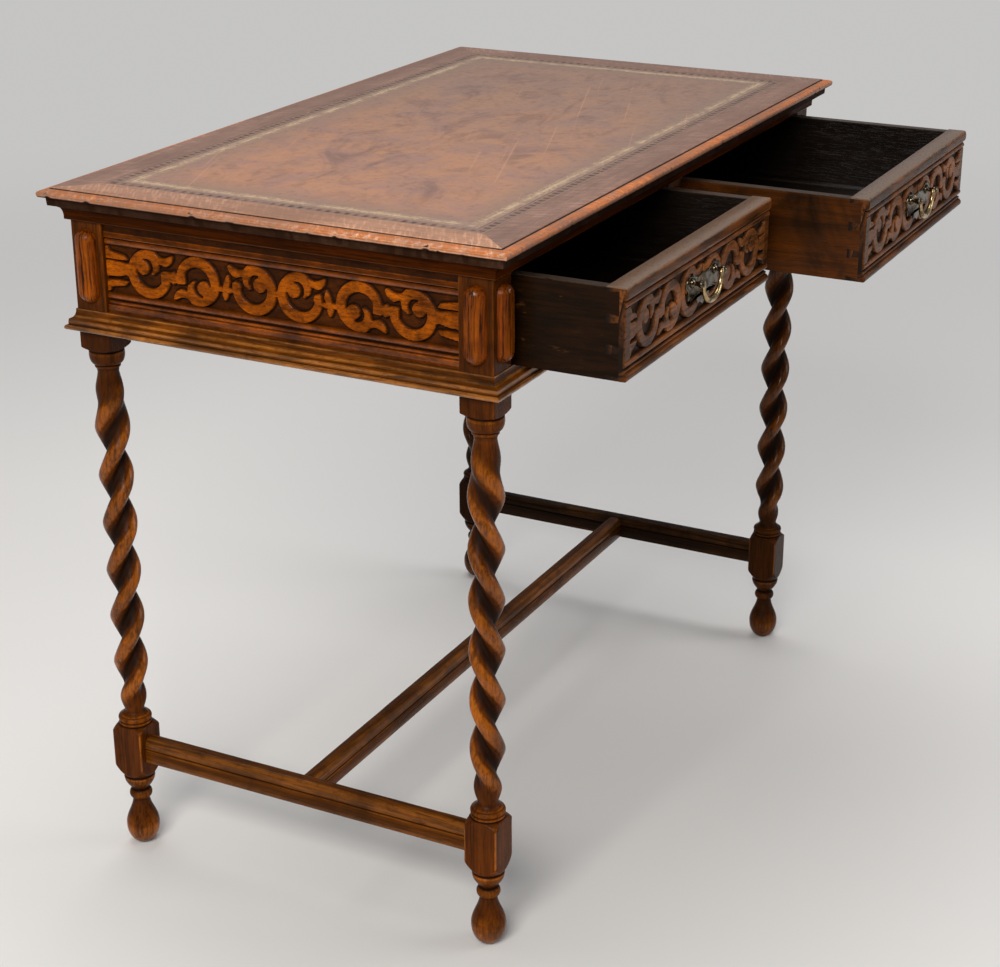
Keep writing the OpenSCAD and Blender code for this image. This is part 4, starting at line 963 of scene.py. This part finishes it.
def makeLeg(corner, hand, start):
    lower, upper, twistLow, twistHigh = turnedOutline()
    steps = round((twistHigh - twistLow) / legLook["step"])
    twist = [(twistLow + (twistHigh - twistLow) * i / steps, None) for i in range(1, steps)]
    rings = lower + twist + upper
    low, high = lowOf("leg_" + corner), highOf("leg_" + corner)
    cx, cy = (low.x + high.x) / 2, (low.y + high.y) / 2
    half, sides = level["stock"] / 2, legLook["sides"]
    arrisR = half * 1.385

    def shape(k, i):
        z, turned = rings[k]
        a = 2 * math.pi * i / sides
        square = min(half / max(abs(math.cos(a)), abs(math.sin(a))), arrisR)
        wear = 0.5
        if turned is None:
            turn = math.radians(start) + hand * 2 * math.pi * (z - twistHigh) / legLook["pitch"]
            r, crest = twistRadius(z, a - turn, twistLow, twistHigh)
            wear = 0.12 + 0.83 * ease(crest * 1.2 - 0.2)
            calm = ease(min(z - twistLow, twistHigh - z) / legLook["unevenFade"])
            r += 0.35 * wave(cx + r * math.cos(a), cy + r * math.sin(a), z, 17) * calm
        elif turned < square:
            r = turned
            before = rings[max(0, k - 2)][1] or turned
            after = rings[min(len(rings) - 1, k + 2)][1] or turned
            wear = clamp(0.5 + 0.28 * (turned - (before + after) / 2))
        else:
            r = square
            if square > half * 1.3:
                # the posts of the frieze are less rubbed than the lower blocks
                rubbed = 0.5 if z < level["base"] - 40 else 0.1
                wear += rubbed * clamp((square - arrisR + 0.9) / 0.9)
            if square > half * 1.36:
                r -= 0.25 * max(0, wave(a * 8, z, cx, 9))
        return Vector((cx + r * math.cos(a), cy + r * math.sin(a), z)) / 1000, wear

    bm = sweep(sides, len(rings), shape)
    words = "".join(w.capitalize() for w in corner.split("_"))
    # the right legs take the darker copy: painted shade
    look = "legFar" if "right" in corner else "leg"
    finishPiece(bm, "leg" + words, oak(look, "z"), "frame", "leg_" + corner, crease=50)


for corner, (hand, start) in legLook["starts"].items():
    makeLeg(corner, hand, start)
print("legs made")


# Half-round strips with domed ends, on the posts and the stile

stripLook = {"wide": 24.0, "out": 10.4, "long": 77.0, "across": 20, "along": 64, "uneven": 0.3}


def makeStrips(name, node, faces):
    # faces: (x, y, outward angle) of each strip's middle on its face
    bm = bmesh.new()
    worn = bm.verts.layers.float.new("worn")
    z, half = level["field"] + 2, stripLook["wide"] / 2
    straight = stripLook["long"] / 2 - half
    for x, y, angle in faces:
        rows, columns = stripLook["along"], stripLook["across"]
        grid = bmesh.ops.create_grid(bm, x_segments=columns, y_segments=rows, size=0.5)
        outward = Vector((math.cos(math.radians(angle)), math.sin(math.radians(angle)), 0))
        across = Vector((-outward.y, outward.x, 0))
        for vert in grid["verts"]:
            # a stadium outline filled from its middle line
            along = vert.co.y * 2 * (straight + half)
            over = max(0.0, abs(along) - straight)
            width = math.sqrt(max(0.0, half * half - over * over))
            side = vert.co.x * 2 * max(width, 0.02)
            r = math.hypot(side, over) / half
            share = math.sqrt(max(0.0, 1 - min(1.0, r) ** 2.3))
            uneven = stripLook["uneven"] * wave(side + x, along, y, 9) / stripLook["out"]
            share = min(1.0, share * (1 + uneven))
            vert[worn] = clamp(0.3 + 0.5 * share + 0.2 * ease(over / half) * (r < 0.85))
            rise = outward * stripLook["out"] * share
            vert.co = (Vector((x, y, z + along)) + rise + across * side) / 1000
    bmesh.ops.remove_doubles(bm, verts=bm.verts, dist=2e-6)
    bmesh.ops.holes_fill(bm, edges=[e for e in bm.edges if e.is_boundary], sides=0)
    finishPiece(bm, name, oak("strip", "z"), "frame", node, crease=70)


for word, hand, angle in (("left", -1, 180), ("right", 1, 0)):
    places = []
    for end in ("front", "back"):
        leg = "leg_" + end + "_" + word
        places.append((hand * level["postX"], (lowOf(leg).y + highOf(leg).y) / 2, angle))
    makeStrips("halfRounds" + word.capitalize(), "half_rounds_" + word, places)
legX = level["postX"] - level["stock"] / 2
places = [(s * legX, deskY - level["postY"], -90) for s in (-1, 0, 1)]
makeStrips("halfRoundsFront", "half_rounds_front", places)
print("half-round strips made")


# Stretchers: rounded over a dark quirk, plain below it

barLook = {"quirk": 0.57, "round": 6.4, "step": 6.0, "dent": 0.35}


def barSection(wide, tall):
    # (across, z, wear) round the bar from one lower arris
    w, q, r = wide / 2, tall * barLook["quirk"], barLook["round"]
    side = [(w - 0.4, 0.0, 0.7), (w, 0.5, 0.8), (w, q - 6, 0.5), (w, q - 2.2, 0.55)]
    side += [(w - 0.3, q - 1.6, 0.85), (w - 2.4, q - 0.6, 0.0), (w - 2.5, q + 1.0, 0.0)]
    side += arched(arcPoints((w - r - 0.1, q + 2.4), r, tall - q - 2.4, -8, 90, 9), 0.62, 0.3)
    return side + [(-x, z, wear) for x, z, wear in reversed(side)]


def makeBar(name, node, axis, reach, look="bar"):
    low, high = lowOf(node), highOf(node)
    middle = (low + high) / 2
    section = barSection((high.y - low.y) if axis == "x" else (high.x - low.x), high.z - low.z)
    count = round(2 * reach / barLook["step"])

    def shape(k, i):
        across, z, wear = section[i]
        along = reach * (2 * k / count - 1)
        dent = barLook["dent"] * (wear > 0.7) * max(0, wave(along, across * 3, z, 23) + 0.1)
        across -= math.copysign(dent, across)
        x, y = (along, across) if axis == "x" else (across, along)
        return Vector((middle.x + x, middle.y + y, low.z + z)) / 1000, wear

    bm = sweep(len(section), count + 1, shape)
    finishPiece(bm, name, oak(look, axis), "frame", node, crease=45)


sideReach = level["postY"] - level["stock"] + 1
makeBar("stretcherLeft", "side_stretcher_left", "y", sideReach)
# painted shade: the right stretcher takes the darker copy
makeBar("stretcherRight", "side_stretcher_right", "y", sideReach, "barPaintedShade")
makeBar("stretcherMiddle", "centre_stretcher", "x", -highOf("side_stretcher_left").x + 1)
print("stretchers made")


# Handles: cast plate with softened edges, turned posts and a bail that thickens to its middle

handleLook = {
    "pitch": 57.0, "ball": 3.8, "drop": 22.0, "bail": 3.3, "end": 1.5, "lip": 0.6,
    "postSides": 32, "bailSides": 28,
}


def joined(*parts):
    whole = bmesh.new()
    for part in parts:
        mesh = bpy.data.meshes.new("part")
        part.to_mesh(mesh)
        part.free()
        whole.from_mesh(mesh)
        bpy.data.meshes.remove(mesh)
    return whole


def plateOutline(wing):
    post = handleLook["pitch"] / 2
    half = [(0, 4.6), (4, 3.4), (9, 2.8), (14, 3.4), (20, 5.2), (24.5, 5.4)]
    half += arcPoints((post + 1.5, 5), 4.6, 4.6, 160, 20, 6) + [(wing - 7, 4.4)]
    half += arcPoints((wing - 5, 0), 5, 5.4, 100, -80, 8) + [(wing - 6, -7)]
    half += arcPoints((wing - 11, -13), 5.6, 5.6, 40, -130, 9)
    half += [(26, -15.2), (23, -13.4), (19.5, -13.8), (16.6, -15.8)]
    half += arcPoints((10, -19.4), 5.6, 5.6, 30, -110, 7) + [(4.6, -25.2), (0, -28.5)]
    return half + [(-x, z) for x, z in reversed(half[1:-1])]


def makePlate(side, centre):
    low, high = lowOf(side + "_handle_plate"), highOf(side + "_handle_plate")
    bm = bmesh.new()
    bm.verts.layers.float.new("worn")
    outline = [(centre.x + x, high.y, centre.z + z) for x, z in plateOutline((high.x - low.x) / 2)]
    edge = [bm.verts.new(Vector(point) / 1000) for point in outline]
    back = bmesh.ops.contextual_create(bm, geom=edge)["faces"]
    made = bmesh.ops.extrude_face_region(bm, geom=back, use_keep_orig=True)["geom"]
    front = [g for g in made if isinstance(g, bmesh.types.BMFace)]
    lip = handleLook["lip"]
    raised = list({v for f in front for v in f.verts})
    bmesh.ops.translate(bm, verts=raised, vec=(0, (low.y + lip - high.y) / 1000, 0))
    bmesh.ops.inset_region(bm, faces=front, thickness=1.5 * lip / 1000, depth=0)
    raised = list({v for f in front for v in f.verts})
    bmesh.ops.translate(bm, verts=raised, vec=(0, -lip / 1000, 0))
    finishPiece(bm, side + "HandlePlate", bronze, "drawer_" + side, side + "_handle_plate", 30)


def makePosts(side, centre):
    ball, sides = handleLook["ball"], handleLook["postSides"]
    stem = lowOf(side + "_handle_plate").y - centre.y
    far = highOf(side + "_handle_posts").y - centre.y
    turned = ringOf(0, ball, 0, ball, -88, 52, 7)
    turned += [(stem * 0.5, 2.3), (stem - 2.8, 2.4), (stem - 2.0, 3.4), (stem - 1.5, 5.0)]
    turned += [(stem - 1.0, 5.2), (stem - 0.02, 5.2), (stem, 2.0), (far, 2.0)]
    made = []
    for s in (-1, 1):
        x = centre.x + s * handleLook["pitch"] / 2

        def shape(k, i, x=x):
            y, r = turned[k]
            a = 2 * math.pi * i / sides
            return Vector((x + r * math.cos(a), centre.y + y, centre.z + r * math.sin(a))) / 1000, 0.5

        made.append(sweep(sides, len(turned), shape))
    bm = joined(*made)
    finishPiece(bm, side + "HandlePosts", bronze, "drawer_" + side, side + "_handle_posts")


def makeBail(side, centre):
    # Stations of (x, z, heading, radius) from the pin in one ball to the pin in the other
    half = handleLook["pitch"] / 2 - handleLook["ball"] - 1.6
    end, drop, sides = handleLook["end"], handleLook["drop"], handleLook["bailSides"]
    run = [(-half - 5, 0, 0, end), (-half - 1.8, 0, 0, end), (-half - 1.4, 0, 0, 2.0)]
    run += [(-half - 0.6, 0, -8, 2.25), (-half + 0.15, -0.3, -40, 2.35), (-half + 0.1, -1.6, -80, 2.2)]
    for a in (math.radians(t) for t in range(8, 91, 3)):
        slope = math.atan2(-drop * 0.85 * math.sin(a) ** -0.15 * math.cos(a), half * math.sin(a))
        r = end + 0.4 + (handleLook["bail"] - end - 0.4) * math.sin(a) ** 1.6
        run.append((-half * math.cos(a), -drop * math.sin(a) ** 0.85, math.degrees(slope), r))
    run += [(-x, z, -heading, r) for x, z, heading, r in reversed(run[:-1])]

    def shape(k, i):
        x, z, heading, r = run[k]
        a, h = 2 * math.pi * i / sides, math.radians(heading)
        across = r * math.cos(a)
        x, z = centre.x + x - math.sin(h) * across, centre.z + z + math.cos(h) * across
        return Vector((x, centre.y - r * math.sin(a), z)) / 1000, 0.5

    bm = sweep(sides, len(run), shape)
    finishPiece(bm, side + "HandleBail", brass, "bail_" + side, side + "_handle_bail", crease=60)


for side in ("left", "right"):
    low, high = lowOf(side + "_handle_posts"), highOf(side + "_handle_posts")
    centre = Vector(((low.x + high.x) / 2, low.y + handleLook["ball"], (low.z + high.z) / 2))
    makePlate(side, centre)
    makePosts(side, centre)
    makeBail(side, centre)
print("handles made")


# Remaining nodes keep their CAD shape and get their oak

finishes = {
    "top_board": ("case", "x"), "back_panel": ("rail", "x"), "front_top_rail": ("rail", "x"),
    "front_bottom_rail": ("rail", "x"), "centre_stile": ("rail", "z"), "drawer_guides": ("case", "y"),
    "left_drawer_side_outer": ("side", "y"), "right_drawer_side_inner": ("sideWarm", "y"),
}
for name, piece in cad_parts.items():
    if piece.hide_render:
        continue
    if "handle" in name:
        finish = brass
    elif name in finishes:
        finish = oak(*finishes[name])
    # inner drawer sides and the remaining carcase pieces take near-black oak: painted shade
    elif "drawer_side" in name:
        finish = oak("inside", "y")
    else:
        finish = oak("case", "y" if any(word in name for word in ("runner", "kicker", "slips")) else "x")
    piece.data.materials.clear()
    piece.data.materials.append(finish)
print("CAD pieces finished")


# Camera, floor and light

cameraLook = {
    "focal": 2076.02, "wide": 1000, "azimuth": 62.7317, "elevation": 22.0315, "roll": -0.1914,
    "at": (-2026.7, -1071.1, 1256.4),
}
az, el, roll = (math.radians(cameraLook[k]) for k in ("azimuth", "elevation", "roll"))
forward = Vector((math.sin(az) * math.cos(el), math.cos(az) * math.cos(el), -math.sin(el)))
right = Vector((math.cos(az), -math.sin(az), 0))
up = right.cross(forward)
rolledRight = right * math.cos(roll) + up * math.sin(roll)
rolledUp = up * math.cos(roll) - right * math.sin(roll)
camera = bpy.data.cameras.new("camera")
camera.sensor_width = 36
camera.lens = camera.sensor_width * cameraLook["focal"] / cameraLook["wide"]
camera.clip_start, camera.clip_end = 0.05, 200
cameraObject = bpy.data.objects.new("camera", camera)
bpy.context.scene.collection.objects.link(cameraObject)
turn = Matrix((rolledRight, rolledUp, -forward)).transposed().to_4x4()
cameraObject.matrix_world = Matrix.Translation(place(*cameraLook["at"])) @ turn
bpy.context.scene.camera = cameraObject

roomLook = {
    "floor": (0.72, 0.70, 0.68), "far": (0.56, 0.555, 0.55), "near": 0.9, "away": 3.6, "size": 80.0,
    "air": (0.80, 0.83, 0.86), "glow": 0.28,
}
bm = bmesh.new()
bmesh.ops.create_grid(bm, x_segments=2, y_segments=2, size=roomLook["size"])
floor = addObject("floor", bm)
finish, tree, shader, spot = newMaterial("paleFloor")
feed(shader["Base Color"], roomLook["floor"])
feed(shader["Roughness"], 0.7)
# far from the desk the floor turns into an even pale ground for the eye; near it the shadow stays
path = addNode(tree, "ShaderNodeLightPath").outputs
seen = maths("MAXIMUM", path["Is Camera Ray"], path["Is Glossy Ray"])
seen = maths("MAXIMUM", seen, path["Is Transmission Ray"])
away = addNode(tree, "ShaderNodeVectorMath", {0: spot}, operation="LENGTH").outputs["Value"]
share = times(mask(away, roomLook["near"], roomLook["away"]), seen)
ground = addNode(tree, "ShaderNodeEmission", {"Color": roomLook["far"]}).outputs[0]
plain = tree.nodes["Principled BSDF"].outputs[0]
lit = addNode(tree, "ShaderNodeMixShader", {0: share, 1: plain, 2: ground})
feed(tree.nodes["Material Output"].inputs["Surface"], lit.outputs[0])
floor.data.materials.append(finish)


def areaLight(name, at, target, size, watts, tint=(1, 1, 1)):
    light = bpy.data.lights.new(name, "AREA")
    light.shape = "RECTANGLE"
    light.size, light.size_y = size
    light.energy = watts
    light.color = tint
    lamp = bpy.data.objects.new(name, light)
    bpy.context.scene.collection.objects.link(lamp)
    lamp.location = at
    lamp.rotation_euler = (Vector(target) - Vector(at)).to_track_quat("-Z", "Y").to_euler()


areaLight("keyLight", (-3.2, -0.6, 2.6), (0, 0, 0.5), (1.8, 1.3), 125, (1.0, 0.97, 0.93))
areaLight("topLight", (0.6, 0.6, 3.4), (0, 0, 0.7), (2.6, 2.2), 60)
areaLight("fillLight", (1.6, -3.4, 1.8), (0, 0, 0.4), (2.0, 1.6), 40, (0.95, 0.97, 1.0))
world = bpy.data.worlds.new("studio")
bpy.context.scene.world = world
world.use_nodes = True
feed(world.node_tree.nodes["Background"].inputs["Color"], roomLook["air"])
feed(world.node_tree.nodes["Background"].inputs["Strength"], roomLook["glow"])
bpy.context.scene.view_settings.view_transform = "Standard"
print("camera and light set")
